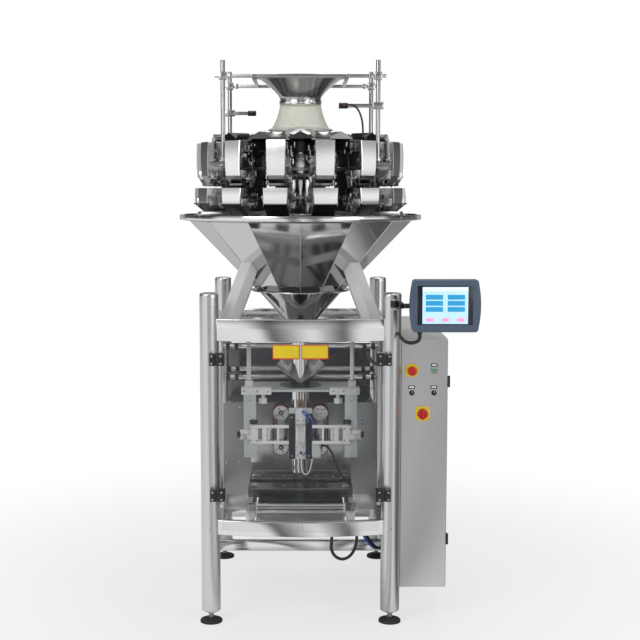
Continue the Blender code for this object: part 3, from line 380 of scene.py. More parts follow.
def brushed(name, grain, tone=0.62, rough=0.3, spread=0.1):
    """Steel brushed along the axis in which grain is small: streaks of noise drawn out that way, with faint
    cloudy stains over them."""
    paint = Paint(name, Metallic=1.0)
    streaks = paint.noise(1.0, paint.place(grain), 4.0, 0.6)
    stains = paint.noise(3.0, None, 2.0)
    mixed = streaks * 0.7 + stains * 0.3
    light = (tone + 0.07, tone + 0.07, tone + 0.075)
    dark = (tone - 0.08, tone - 0.08, tone - 0.075)
    paint.feed(Base_Color=paint.shades(mixed, dark, light), Roughness=mixed * spread + (rough - spread / 2),
        Normal=paint.bump(streaks, 0.1, 0.0004))
    return paint.material


def polished(name, tone=0.78, rough=0.05, wave=0.06, dark_reflection_tone=None):
    """Mirror sheet: a slow swell bends its reflections, and smears dull it here and there. Given a darker
    tone, it paints a reflection of the machine's dark inside low down on the cone's two front facets."""
    paint = Paint(name, Metallic=1.0)
    swell = paint.noise(6.0, None, 1.0)
    smears = paint.noise(22.0, paint.place((1, 1, 0.4)), 4.0, 0.65)
    colour = paint.shades(smears, (tone - 0.05,) * 3, (tone + 0.04,) * 3)
    # painted reflection: the cone's two front facets go darker low down, standing in for the machine's dark
    # inside mirrored in them
    if dark_reflection_tone:
        across, back, high = paint.split(paint.node("ShaderNodeTexCoord", out="Object"))
        across, depth = across - AXIS[0], AXIS[1] - back
        edge = depth * tan(STEP)
        facing = (edge * edge - across * across).over(0.0) * depth.over(0.0)
        colour = paint.shades(facing * paint.ease(high, 1.68, 1.745, 1.0, 0.0), (tone,) * 3, (dark_reflection_tone,)
            * 3)
    paint.feed(Base_Color=colour, Roughness=smears * 0.09 + rough, Normal=paint.bump(swell, wave, 0.01))
    return paint.material


def painted(name, colour, rough=0.45, grain=900.0, depth=0.1, metallic=0.0, shift=0.12, coat=0.0):
    """Paint or moulded plastic: a fine orange-peel or spark texture, and a slow drift in tone."""
    paint = Paint(name, Metallic=metallic, Coat_Weight=coat)
    fine = paint.noise(grain, None, 2.0)
    drift = paint.noise(9.0, None, 3.0)
    dark = tuple((c * (1 - shift) for c in colour))
    light = tuple((min(1.0, c * (1 + shift)) for c in colour))
    paint.feed(Base_Color=paint.shades(drift, dark, light), Roughness=drift * 0.12 + (rough - 0.06),
        Normal=paint.bump(fine, depth, 0.0004))
    return paint.material


def sheer(name, colour, alpha, edge, rough=0.03, cloud=0.0):
    """Clear or milky sheet: it hides more where it is seen on edge, and clouds make it patchy."""
    paint = Paint(name, Base_Color=colour, Roughness=rough, IOR=1.49)
    facing = paint.node("ShaderNodeLayerWeight", {}, {"Blend": 0.35}, out="Facing")
    shade = facing ** 2.0 * edge + alpha
    if cloud:
        shade = shade + paint.noise(14.0, None, 4.0) * cloud
    paint.feed(Alpha=shade)
    return paint.material


def glowing(name, colour, strength=0.72):
    """A lit part of the screen: its glow varies a little from place to place."""
    paint = Paint(name, Base_Color=colour, Roughness=0.2, Emission_Strength=strength)
    drift = paint.noise(12.0, None, 2.0)
    paint.feed(Emission_Color=paint.shades(drift, tuple((c * 0.93 for c in colour)), colour))
    return paint.material


def ribbed_rubber(name, colour):
    """Belt rubber: cross ribs every few millimetres up the belt, paler on their crests and darker between
    them, with patchy wear over all.
    """
    paint = Paint(name)
    ribs = paint.node("ShaderNodeTexWave", {"bands_direction": "Z", "wave_profile": "SIN"},
        {"Vector": paint.place(), "Scale": 60.0, "Distortion": 0.3})
    worn = paint.noise(120.0)
    mask = ribs * 0.5 + worn * 0.5
    paint.feed(Base_Color=paint.shades(mask, tuple((c * 0.7 for c in colour)),
            tuple((min(1, c * 1.25) for c in colour))), Roughness=worn * 0.2 + 0.55,
        Normal=paint.bump(ribs, 0.3, 0.001))
    return paint.material


POST_STEEL = brushed("post_steel", (120, 120, 3), 0.68, 0.29, 0.08)
BEAM_STEEL = brushed("beam_steel", (2.5, 260, 260), 0.78, 0.11, 0.06)
SHEET_STEEL = brushed("sheet_steel", (220, 220, 2), 0.63, 0.3, 0.08)
WALL_STEEL = brushed("wall_steel", (3, 240, 240), 0.4, 0.3)
DARK_PANEL = painted("dark_panel", (0.085, 0.078, 0.092), 0.22, coat=0.4)
# the last number is the tone of the painted dark reflection low down on the cone's two front facets
CONE_STEEL = polished("cone_steel", 0.6, 0.035, 0.03, 0.24)
FUNNEL_STEEL = polished("funnel_steel", 0.5, 0.06, 0.08)
TRUMPET_STEEL = brushed("trumpet_steel", (60, 60, 6), 0.46, 0.2, 0.1)
DARK_STEEL = polished("dark_steel", 0.26, 0.14)
COVER_STEEL = polished("cover_steel", 0.1, 0.12)
ROD_STEEL = polished("rod_steel", 0.44, 0.24, 0.0)
BAR_BLACK = painted("bar_black", (0.01, 0.011, 0.016), 0.55)
LEG_STEEL = painted("leg_steel", (0.94, 0.95, 0.97), 0.3, 400.0, 0.05, 0.3)
MIRROR = polished("mirror_steel", 0.76)
HOPPER_STEEL = polished("hopper_steel", 0.8, 0.1, 0.03)
MACHINED = brushed("machined_steel", (160, 160, 160), 0.55, 0.26)
CAST = painted("cast_housing", (0.06, 0.065, 0.072), 0.32, 500.0, 0.2, 0.5)
ALUMINIUM = brushed("turned_aluminium", (180, 4, 180), 0.74, 0.34)
GREY_PAINT = painted("grey_paint", (0.6, 0.645, 0.64), 0.38, 700.0)
WHITE_PLASTIC = painted("white_plastic", (0.82, 0.83, 0.82), 0.4)
BLACK = painted("black_plastic", (0.018, 0.018, 0.02), 0.42, 900.0, 0.15)
RUBBER = painted("foot_rubber", (0.03, 0.03, 0.03), 0.75, 400.0, 0.4)
YELLOW = painted("yellow_plastic", (0.88, 0.66, 0.02), 0.35)
RED = painted("red_plastic", (0.58, 0.008, 0.006), 0.36, coat=0.1)
PLATE_RED = painted("plate_border", (0.8, 0.07, 0.02), 0.35)
GREEN = painted("green_plastic", (0.04, 0.42, 0.13), 0.28, coat=0.3)
BLUE = painted("blue_hose", (0.03, 0.14, 0.62), 0.3, coat=0.3)
BEZEL = painted("bezel_plastic", (0.085, 0.125, 0.19), 0.42, 1100.0, 0.2)
BEZEL_DARK = painted("bezel_recess", (0.012, 0.012, 0.018), 0.25)
SCREEN = glowing("screen_field", (0.42, 0.64, 0.84))
SCREEN_BLUE = glowing("screen_block", (0.02, 0.26, 0.5))
SCREEN_PINK = glowing("screen_key", (0.82, 0.3, 0.55))
SCREEN_WHITE = glowing("screen_bar", (0.62, 0.72, 0.86))
BELT = ribbed_rubber("belt_rubber", (0.27, 0.015, 0.045))
CLEAR = sheer("clear_acrylic", (0.42, 0.46, 0.48), 0.035, 0.3)
SKIRT = sheer("skirt_film", (0.95, 0.96, 0.78), 0.15, 0.52, 0.18, 0.3)
FILM = painted("wound_film", (0.8, 0.83, 0.84), 0.25, 60.0, 0.1, coat=0.5)
COLLAR_STEEL = polished("collar_steel", 0.46, 0.2, 0.0)

SLOT_FINISHES = {"brushed_steel": (POST_STEEL, BEAM_STEEL, SHEET_STEEL, WALL_STEEL, ROD_STEEL),
    "polished_steel": (MIRROR, HOPPER_STEEL, CONE_STEEL, FUNNEL_STEEL, TRUMPET_STEEL, DARK_STEEL,
        COVER_STEEL, COLLAR_STEEL), "aluminium": (MACHINED, ALUMINIUM),
    "black_plastic": (BLACK, CAST, DARK_PANEL, BEZEL_DARK, BAR_BLACK), "rubber": (RUBBER,),
    "red_plastic": (RED, PLATE_RED), "green_plastic": (GREEN,), "bezel": (BEZEL,), "belt": (BELT,),
    "clear_acrylic": (CLEAR,), "skirt_film": (SKIRT,), "film": (FILM,), "grey_paint": (GREY_PAINT,)}
SLOT_OF = {finish: slot for slot, finishes in SLOT_FINISHES.items() for finish in finishes}


# ---------------------------------------------------------------- making pieces


def make(name, part, finish, body="machine", node=None, slot="", sharp=38):
    """One piece from a surface or a list of them, moved to the frame's place and smooth up to the sharp
    angle. It may stand for a node of the frame. Its slot, that of its finish unless another or none is
    named, is worked out but not used."""
    points, faces = joined(*part) if isinstance(part, list) else part
    mesh = bpy.data.meshes.new(name)
    mesh.from_pydata((points + AXIS).tolist(), [], faces)
    work = bmesh.new()
    work.from_mesh(mesh)
    bmesh.ops.recalc_face_normals(work, faces=work.faces)
    work.to_mesh(mesh)
    work.free()
    mesh.shade_smooth()
    mesh.set_sharp_from_angle(angle=radians(sharp))
    mesh.materials.append(finish)
    made = bpy.data.objects.new(name, mesh)
    scene.collection.objects.link(made)
    slot = SLOT_OF.get(finish) if slot == "" else slot
    if body:
        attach(made, body)
    if node:
        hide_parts(node)
    return made


def refinish(finish, *nodes):
    for node in nodes:
        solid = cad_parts[node]
        solid.data.materials.clear()
        solid.data.materials.append(finish)


# ---------------------------------------------------------------- light and floor

scene.view_settings.view_transform = "Standard"

scene.world = bpy.data.worlds.new("studio")
studio = Paint("studio", scene.world)
BAND_LIGHT, AMBIENT = 1.15, 0.42
BAND_STOPS = [(0.0, 0.85), (1.0, 0.85), (0.06, 0.85), (0.1, 0.12), (0.245, 0.09), (0.27, 0.95), (0.4, 0.95),
    (0.444, 0.8), (0.467, 0.1), (0.487, 0.42), (0.51, 0.6), (0.528, 0.42), (0.543, 0.1), (0.561, 0.8),
    (0.6, 0.95), (0.73, 0.95), (0.755, 0.09), (0.9, 0.12), (0.94, 0.85)]
FLOOR_STOPS = [(0.0, 0.6), (1.0, 0.6), (0.07, 0.55), (0.12, 0.8), (0.2, 0.85), (0.25, 0.8), (0.44, 0.9),
    (0.456, 0.95), (0.468, 0.08), (0.487, 0.45), (0.51, 0.95), (0.527, 0.45), (0.542, 0.08), (0.556, 0.9),
    (0.6, 0.85), (0.64, 0.12), (0.76, 0.12), (0.9, 0.15), (0.94, 0.6)]


def studio_bands(paint, spot, stops):
    """Bright and dark panels round the machine, by the compass direction of a spot: what polished metal
    mirrors."""
    east, north, up = paint.split(spot)
    heading = paint.node("ShaderNodeMath", {"operation": "ARCTAN2"},
        {0: east, 1: north * -1.0}) * (0.5 / pi) + 0.5
    return paint.node("ShaderNodeValToRGB", {"stops": stops}, {"Fac": heading}), up


def ray_kinds(paint):
    """Two masks: rays that see a thing straight or through clear sheet, and rays that see it mirrored."""
    rays = paint.node("ShaderNodeLightPath").socket.node
    camera_ray, through_ray, glossy_ray = [Sock(paint, rays.outputs[f"Is {kind} Ray"])
        for kind in ("Camera", "Transmission", "Glossy")]
    return camera_ray + through_ray, glossy_ray


straight, mirrored_ray = ray_kinds(studio)
bands, up = studio_bands(studio, studio.node("ShaderNodeTexCoord", out="Generated"), BAND_STOPS)
overhead = studio.ease(up, 0.38, 0.75, 0.0, 0.75)
gloss = bands * BAND_LIGHT * studio.ease(up, 0.0, 0.17, 1.0, 0.36) * studio.ease(up, 0.35, 0.6, 1.0,
    0.2) + overhead
level = straight + mirrored_ray * gloss + (1 - straight) * (1 - mirrored_ray) * AMBIENT
backdrop = scene.world.node_tree.nodes["Background"]
studio.tree.links.new(level.socket, backdrop.inputs["Strength"])
backdrop.inputs["Color"].default_value = (1, 1, 1, 1)


def soft_box(name, place, target, size, power):
    lamp = bpy.data.lights.new(name, "AREA")
    lamp.shape, lamp.size, lamp.energy = "DISK", size, power
    made = bpy.data.objects.new(name, lamp)
    scene.collection.objects.link(made)
    made.location = place
    made.rotation_euler = (Vector(target) - Vector(place)).to_track_quat("-Z", "Y").to_euler()


soft_box("key_light", (-2.9, -3.9, 3.6), (0, 0, 1.4), 2.4, 62)
soft_box("fill_light", (3.3, -3.6, 2.4), (0, 0, 1.2), 2.4, 38)
soft_box("top_light", (0.3, 0.6, 5.2), (0, 0, 1.5), 2.6, 50)

floor_paint = Paint("pale_floor", Base_Color=(0.86, 0.86, 0.86), Roughness=0.7)
spot = floor_paint.node("ShaderNodeTexCoord", out="Object")
far = floor_paint.node("ShaderNodeVectorMath", {"operation": "LENGTH"}, {0: spot}, out="Value")
seen, glossy = ray_kinds(floor_paint)
floor_bands, _ = studio_bands(floor_paint, spot, FLOOR_STOPS)
seen_share, glossy_share = floor_paint.ease(far, 0.9, 3.0, 0.68, 1.0), floor_paint.ease(far, 0.5, 1.1, 0.25,
    1.0)
share = seen * seen_share + glossy * glossy_share
glow = seen + glossy * floor_bands
white = floor_paint.node("ShaderNodeEmission", {}, {"Color": (1, 1, 1, 1), "Strength": glow})
mixed = floor_paint.node("ShaderNodeMixShader", {},
    {0: share, 1: Sock(floor_paint, floor_paint.shader.outputs[0]), 2: white})
floor_paint.tree.links.new(mixed.socket, floor_paint.tree.nodes["Material Output"].inputs["Surface"])
floor_mesh = bpy.data.meshes.new("floor")
FLOOR_HALF = 20
floor_corners = [(FLOOR_HALF * x, FLOOR_HALF * y, 0) for x, y in ((-1, -1), (1, -1), (1, 1), (-1, 1))]
floor_mesh.from_pydata(floor_corners, [], [(0, 1, 2, 3)])
floor_mesh.materials.append(floor_paint.material)
floor = bpy.data.objects.new("floor", floor_mesh)
scene.collection.objects.link(floor)

# ---------------------------------------------------------------- cords

CONDUIT_RADIUS, LOOP_RADIUS = 0.008, 0.007
CONDUIT_ROUTE = [(*CONDUIT_END, 1.3277), (*CONDUIT_END, 1.3217), (*CONDUIT_END, 1.315),
    (0.507, -0.551, 1.3), (0.49, -0.543, 1.29), (0.474, -0.53, 1.287), (0.46, -0.512, 1.288),
    (0.449, -0.492, 1.293), (0.44, -0.472, 1.301), (0.434, -0.455, 1.31), (0.4285, -0.4399, 1.318)]
LOOP_ROUTE = [(0.14, -0.43, 0.4067), (0.14, -0.43, 0.391), (0.139, -0.427, 0.372), (0.138, -0.422, 0.352),
    (0.142, -0.415, 0.33), (0.151, -0.407, 0.311), (0.166, -0.4, 0.296), (0.184, -0.395, 0.288),
    (0.203, -0.393, 0.29), (0.22, -0.394, 0.3), (0.233, -0.398, 0.316), (0.242, -0.404, 0.335),
    (0.248, -0.41, 0.356), (0.251, -0.416, 0.376), (0.252, -0.419, 0.391), (0.252, -0.419, 0.4067)]


def lay_cord(name, route, radius, finish, body="machine", node=None, slot=""):
    """A flexible line along a curve through its route."""
    line = through(route, 6)
    made = make(name, hose(line, radius, 16), finish, body, node, slot)
    return made


conduit = lay_cord("hmi_conduit_tube", CONDUIT_ROUTE, CONDUIT_RADIUS, BLACK, None, "hmi_conduit")
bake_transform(conduit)
lay_cord("service_loop_cable", LOOP_ROUTE, LOOP_RADIUS, RUBBER, node="service_loop", slot="black_plastic")
SUPPLY_ROUTE = np.array([(0.259, -0.345, 0.452), (0.261, -0.343, 0.438), (0.272, -0.325, 0.405),
        (0.291, -0.3, 0.366), (0.312, -0.272, 0.328), (0.333, -0.245, 0.3), (0.352, -0.212, 0.283),
        (0.37, -0.175, 0.277), (0.384, -0.138, 0.284), (0.394, -0.102, 0.305), (0.4, -0.075, 0.34),
        (0.403, -0.06, 0.385), (0.403, -0.055, 0.425), (0.403, -0.055, 0.442)])
lay_cord("supply_hose", SUPPLY_ROUTE, 0.0055, BLUE)
lay_cord("supply_cable", SUPPLY_ROUTE + (0.0135, 0.006, 0), 0.0065, RUBBER)

# ---------------------------------------------------------------- frame

CORNERS = [(x, y) for x in (-POST_X, POST_X) for y in (POST_FRONT, POST_REAR)]
SIDE_IN, SIDE_OUT = POST_X - SIDE_WIDTH / 2, POST_X + SIDE_WIDTH / 2
ROLLERS = ((0.12, 1.19), (0.22, 1.064), (0.14, 1.036))


def screws(places, axis="Y", way=-1, radius=0.004, height=0.003):
    return joined(*[bolt(place, axis, way, radius, height) for place in places])


def build_frame():
    """Round posts with rolled caps, soft-edged square beams, and two bowed front beams."""
    roll = 0.01
    bend = QUARTER[6]
    cap = [(POST_RADIUS - roll + roll * cos(a), POST_TOP - roll + roll * sin(a)) for a in bend]
    seam = POST_TOP - 0.024
    post = [(POST_RADIUS - 0.003, POST_LOW), (POST_RADIUS, POST_LOW + 0.003), (POST_RADIUS, seam - 0.001),
        (POST_RADIUS - 0.0009, seam), (POST_RADIUS, seam + 0.001), *cap,
        (POST_RADIUS - 0.014, POST_TOP - 0.0008)]
    make("posts", [turned(post, (x, y, 0), steps=64, closed=False) for x, y in CORNERS], POST_STEEL,
        node="frame")
    make("post_discs", [rod(0.026, POST_TOP - 0.004, POST_TOP + 0.0006, (x, y, 0)) for x, y in CORNERS],
        CAST)
    half = BEAM_DEPTH / 2
    span = (-POST_X, POST_X)
    make("front_beams", [bowed(span, (-half, half), z, 0.004, 56) for z in (TOP_BEAM, LOW_BEAM)],
        BEAM_STEEL)
    rear = (POST_REAR - half, POST_REAR + half)
    tie = block(*span, *mid(-0.04, half), SIDE_LOW[0] + 0.004, SIDE_LOW[1] - 0.004, 0.003)
    across = [block(*span, *rear, *z, 0.004) for z in (SIDE_TOP, SIDE_LOW)]
    runs = [block(SIDE_IN, SIDE_OUT, POST_FRONT, POST_REAR, z[0] + 0.002, z[1] - 0.002, 0.004)
        for z in (SIDE_TOP, SIDE_MID, SIDE_LOW)]
    make("cross_beams", [*across, tie], BEAM_STEEL)
    make("side_beams", both_sides(*runs), brushed("side_steel", (240, 3, 240), 0.58, 0.27),
        slot="brushed_steel")
    cheek = block(SIDE_IN - 0.008, SIDE_IN + 0.0015, 0.09, 0.25, 1.006, 1.25, 0.002)
    make("roller_cheeks", both_sides(cheek), SHEET_STEEL)
    make("turning_bars", [rod(0.011, -0.377, 0.377, (0, y, z), "X", 32) for y, z in ROLLERS], MIRROR)
    collars = [rod(0.0155, x - 0.009, x + 0.009, (0, y, z), "X") for y, z in ROLLERS
        for x in (-0.31, 0.31, -0.352, 0.352)]
    make("bar_collars", collars, BLACK)
    reel_arm = block(0.305, 0.393, 0.57, 0.83, 0.5517, 0.6017, 0.003)
    saddle = block(0.352, 0.378, 0.775, 0.825, 0.596, 0.6017, 0.001)
    make("reel_arms", both_sides(reel_arm, saddle), SHEET_STEEL)
    pads, heads = [], []
    for z in HINGE_HEIGHTS:
        pads.append(block(HINGE_X + 0.0003, HINGE_X + 0.028, HINGE_FRONT, POST_FRONT - POST_RADIUS + 0.008,
                *mid(z, HINGE_HALF), 0.0025))
        heads += [(HINGE_X + 0.017, HINGE_FRONT + 0.0004, z + dz) for dz in (-0.016, 0.016)]
    make("hinge_pads", both_sides(*pads), BLACK)
    make("hinge_pad_screws", both_sides(screws(heads, radius=0.0042)), MACHINED)
    ledge = block(0.392, 0.428, -0.48, -0.43, 1.423, 1.4347, 0.002)
    stem = [rod(radius, low, high, (*ARM_PIVOT, 0)) for radius, low,
        high in ((0.008, 1.429, 1.47), (0.013, 1.4634, 1.4702))]
    make("arm_ledge", [ledge, *stem], SHEET_STEEL)
    plugs = [rod(0.0042, POST_FRONT - POST_RADIUS - 0.0022, POST_FRONT - POST_RADIUS + 0.002, (x, 0, z),
            "Y", 12) for x in (-POST_X, POST_X) for z in (TOP_BEAM[0] + 0.05, LOW_BEAM[0] + 0.034)]
    make("post_screws", plugs, MACHINED)


def build_feet():
    """A dished rubber pad, a threaded stud whose crests come every two millimetres, and a hexagon nut."""
    pad = [(0.046, 0), (0.05, 0.0015), (0.05, 0.009), (0.047, 0.013), (0.028, 0.0185), (0.024, 0.022)]
    crests = [(0.0104 if k % 2 else 0.0118, 0.021 + 0.001 * k) for k in range(25)]
    flats = np.arange(6) * pi / 3
    for (x, y), name in zip(CORNERS, ("left_front", "left_rear", "right_front", "right_rear")):
        node = "foot_" + name
        make(node + "_pad", turned(pad, (x, y, 0), steps=48, closed=False), RUBBER, node=node)
        nut = prism(np.stack([x + 0.021 * np.cos(flats), y + 0.021 * np.sin(flats)], -1), "Z", 0.0432,
            0.0546, 0.0012)
        make(node + "_stud", [turned(crests, (x, y, 0), steps=24, closed=False), nut], MACHINED, sharp=25)


def build_back_wall():
    edge, gap, front, rear = 0.3827, 0.235, 0.2, 0.204
    outline = [(-edge, 0.36), (-gap, 0.36), (-gap, 0.56), (gap, 0.56), (gap, 0.36), (edge, 0.36),
        (edge, 0.9), (-edge, 0.9)]
    make("rear_sheet", prism(outline, "Y", front, rear), WALL_STEEL, node="back_wall", sharp=20)
    shelf = block(-0.3607, 0.3607, 0.201, 0.5, 0.894, 0.898, 0.001)
    panel = block(-0.3607, 0.3607, 0.498, 0.504, 0.896, 1.16, 0.001)
    make("upper_panel", [shelf, panel], DARK_PANEL)
    heads = [(x, front, z) for x in (-0.366, -0.3, 0.3, 0.366) for z in (0.6, 0.875)]
    make("wall_screws", screws(heads, radius=0.005), MACHINED)


def build_doors():
    """Two clear leaves on the bowed line, 6 mm thick, each with its hinge halves, catch and blank
    plates."""
    low, high = DOOR_Z
    for side, name in ((-1, "door_left"), (1, "door_right")):
        turn = sided(side)
        make(name + "_leaf", turn(bowed((0.0015, DOOR_END), (-0.022, -0.016), DOOR_Z, 0.001, 36)), CLEAR,
            name, name)
        make(name + "_stile", turn(bowed((0.0018, 0.014), (-0.026, -0.021), (low + 0.01, high - 0.01),
                    0.0015, 3)), CLEAR, name)
        blocks, heads = [], []
        for z in HINGE_HEIGHTS:
            blocks.append(block(DOOR_END - 0.018, HINGE_X - 0.0003, HINGE_FRONT, float(bow(DOOR_END))
                    - 0.017, *mid(z, HINGE_HALF), 0.0025))
            heads += [(HINGE_X - 0.022, HINGE_FRONT + 0.0004, z + dz) for dz in (-0.016, 0.016)]
        make(name + "_hinges", turn(joined(*blocks)), BLACK, name)
        make(name + "_hinge_screws", turn(screws(heads, radius=0.0042)), MACHINED, name)
        make(name + "_plate_border",
            turn(bowed((0.0045, 0.122), (-0.0245, -0.0205), (1.207, 1.27), 0.0008, 12)), PLATE_RED, name)
        make(name + "_plate", turn(bowed((0.0075, 0.119), (-0.0254, -0.0235), (1.2125, 1.267), 0.0006, 12)),
            YELLOW, name)


build_frame()
build_feet()
build_back_wall()
build_doors()


# ---------------------------------------------------------------- cabinet and screen


def build_cabinet():
    """A folded sheet box: its front, left and rear walls are one bent strip, closed by a top and a
    floor."""
    left, right, sheet, bend = POST_X + POST_RADIUS + 0.0003, 0.6515, 0.003, 0.005
    y0, y1 = CABINET_Y
    arc = QUARTER[5]
    outer = [(right, y0)] + [(left + bend - bend * sin(a), y0 + bend - bend * cos(a)) for a in arc]
    outer += [(left + bend - bend * cos(a), y1 - bend + bend * sin(a)) for a in arc] + [(right, y1)]
    inner = [(min(x + sheet, right) if x < right else right, min(max(y, y0 + sheet), y1 - sheet)) for x,
        y in outer[::-1]]
    walls = prism(outer + inner, "Z", CABINET_Z[0] + 0.001, CABINET_Z[1] - 0.001)
    ends = [block(left + 0.001, right, y0 + 0.001, y1 - 0.001, *z, 0.0012)
        for z in ((CABINET_Z[0], CABINET_Z[0] + sheet), (CABINET_Z[1] - sheet, CABINET_Z[1]))]
    lips = [block(right - 0.016, right, y0 + 0.002, y1 - 0.002, *z, 0.001)
        for z in ((CABINET_Z[0] + 0.002, CABINET_Z[0] + 0.006),
            (CABINET_Z[1] - 0.006, CABINET_Z[1] - 0.002))]
    make("cabinet_walls", [walls, *ends, *lips], SHEET_STEEL, node="cabinet_shell", sharp=30)
    plate = block(left + 0.004, left + 0.006, y0 + 0.05, y1 - 0.05, 0.22, 1.23, 0.0008)
    rails = [block(left + 0.006, left + 0.013, y0 + 0.08, y1 - 0.08, *mid(z, 0.017), 0.001)
        for z in (0.4, 0.66, 0.92)]
    make("mounting_plate", [plate, *rails], ALUMINIUM)
    modules = []
    for z, widths in ((0.4, (0.045, 0.045, 0.09, 0.06)), (0.66, (0.07, 0.035, 0.035, 0.035, 0.11)),
        (0.92, (0.1, 0.1, 0.05))):
        y = y0 + 0.12
        for wide in widths:
            modules.append(block(left + 0.01, left + 0.09, y, y + wide - 0.004, *mid(z, 0.05), 0.003))
            y += wide + 0.012
    make("cabinet_modules", modules, GREY_PAINT, slot=None)
    seat = block(0.6518, 0.6545, y0 + 0.002, y1 - 0.002, CABINET_Z[0] + 0.002, CABINET_Z[1] - 0.002, 0.001)
    make("cabinet_leaf", seat, SHEET_STEEL, "cabinet_door", "cabinet_door")
    hinge = [joined(rod(0.006, z - 0.025, z + 0.025, (0.6581, -0.3995, 0)),
            block(0.6545, 0.6585, -0.399, -0.37, *mid(z, 0.025), 0.001)) for z in (0.383, 1.098)]
    handle = [block(0.6535, 0.6575, 0.528, 0.552, 0.655, 0.785, 0.0015), block(0.6555, 0.6725, 0.532, 0.548,
            0.672, 0.768, 0.004)]
    make("cabinet_fittings", [*hinge, *handle], BLACK, "cabinet_door")


def build_controls():
    """Turned buttons on the cabinet's front face. Heights are measured forward from the face."""
    face = CABINET_Y[0]

    def forward(profile, place, steps=40):
        return turned([(r, face - h) for r, h in profile], (place[0], 0, place[1]), "Y", steps,
            closed=False)

    def bezel(place, inner, outer, height):
        ring = [(inner, -0.001), (outer, -0.001), (outer, height - 0.003), (outer - 0.003, height),
            (inner, height)]
        return turned([(r, face - h) for r, h in ring], (place[0], 0, place[1]), "Y", 40)

    def card(place, across, depth, high, r):
        x, z = place
        return block(*mid(x, across), face - depth[0], face - depth[1], z + high[0], z + high[1], r)

    make("estop_ring", bezel(ESTOP, 0.0105, 0.03, 0.012), YELLOW)
    legends = [(place[0], place[1] + 0.0235) for place in (START, *SELECTORS)]
    make("legend_plates", [card(place, 0.015, (0.0022, -0.0005), (-0.0075, 0.0075), 0.001)
            for place in legends], BLACK)
    make("legend_fields", [card(place, 0.0105, (0.0028, 0.002), (-0.0035, 0.0045), 0.0003)
            for place in legends], WHITE_PLASTIC)
    make("start_bezel", bezel(START, 0.0085, 0.015, 0.008), MACHINED)
    make("selector_bezels", [bezel(place, 0.0085, 0.015, 0.008) for place in SELECTORS], WHITE_PLASTIC)
    x, z = MAIN_SWITCH
    make("switch_plate", card(MAIN_SWITCH, 0.032, (0.006, -0.001), (-0.032, 0.032), 0.003), YELLOW)
    make("plate_screws",
        screws([(x + dx, face - 0.006, z + dz) for dx in (-0.026, 0.026) for dz in (-0.026, 0.026)],
            radius=0.003, height=0.001), MACHINED)
    mushroom = [(0.01, 0.0072), (0.01, 0.019), (0.0175, 0.0192), (0.02, 0.0215), (0.02, 0.0275),
        (0.018, 0.0315), (0.013, 0.0345), (0.006, 0.0358)]
    make("estop_mushroom", forward(mushroom, ESTOP), RED, "estop_button", "estop_button")
    make("start_cap", forward([(0.0081, 0.0046), (0.0081, 0.0115), (0.007, 0.0128), (0.003, 0.0131)],
            START), GREEN, "start_button", "start_button")
    for place, name in zip(SELECTORS, ("selector_left", "selector_right")):
        knob = forward([(0.0081, 0.0004), (0.0081, 0.0085), (0.0125, 0.0086), (0.013, 0.0095),
                (0.012, 0.0135), (0.0105, 0.014)], place)
        grip = card(place, 0.0035, (0.026, 0.01), (-0.011, 0.011), 0.0018)
        make(name + "_knob", [knob, grip], BLACK, name, name)
        make(name + "_mark", card(place, 0.0008, (0.0264, 0.0255), (0.001, 0.01), 0.0002), WHITE_PLASTIC,
            name)
    dial = forward([(0.0235, 0.0064), (0.024, 0.0075), (0.0225, 0.0165), (0.0205, 0.018)], MAIN_SWITCH)
    lever = card(MAIN_SWITCH, 0.006, (0.033, 0.015), (-0.023, 0.023), 0.003)
    make("main_switch_dial", [dial, lever], RED, "main_switch", "main_switch")


def bezel_outline(inset, corner=0.014, side=0.01, steps=10):
    """The screen's outline drawn in by an inset: its left and right edges bow out along a parabola, and its
    corners are quarter circles."""
    (x0, x1), (z0, z1) = (SCREEN_X, SCREEN_Z)
    corner = max(corner - inset, 0.003)
    arc = QUARTER[5]
    rise = np.linspace(-1, 1, steps + 1)[1:-1]
    half_z = (z1 - z0) / 2 - inset
    mid_z, points = (z0 + z1) / 2, []
    for sx, sz, start in ((1, -1, -pi / 2), (1, 1, 0), (-1, 1, pi / 2), (-1, -1, pi)):
        edge = x1 - side - inset if sx > 0 else x0 + side + inset
        cx, cz = edge - sx * corner, mid_z + sz * (half_z - corner)
        points += [(cx + corner * cos(a + start), cz + corner * sin(a + start)) for a in arc]
        if sx == 1 and sz == -1:
            points += [(edge + side * (1 - k * k), mid_z + k * (half_z - corner)) for k in rise]
        if sx == -1 and sz == 1:
            points += [(edge - side * (1 - k * k), mid_z - k * (half_z - corner)) for k in rise]
    return np.array(points)


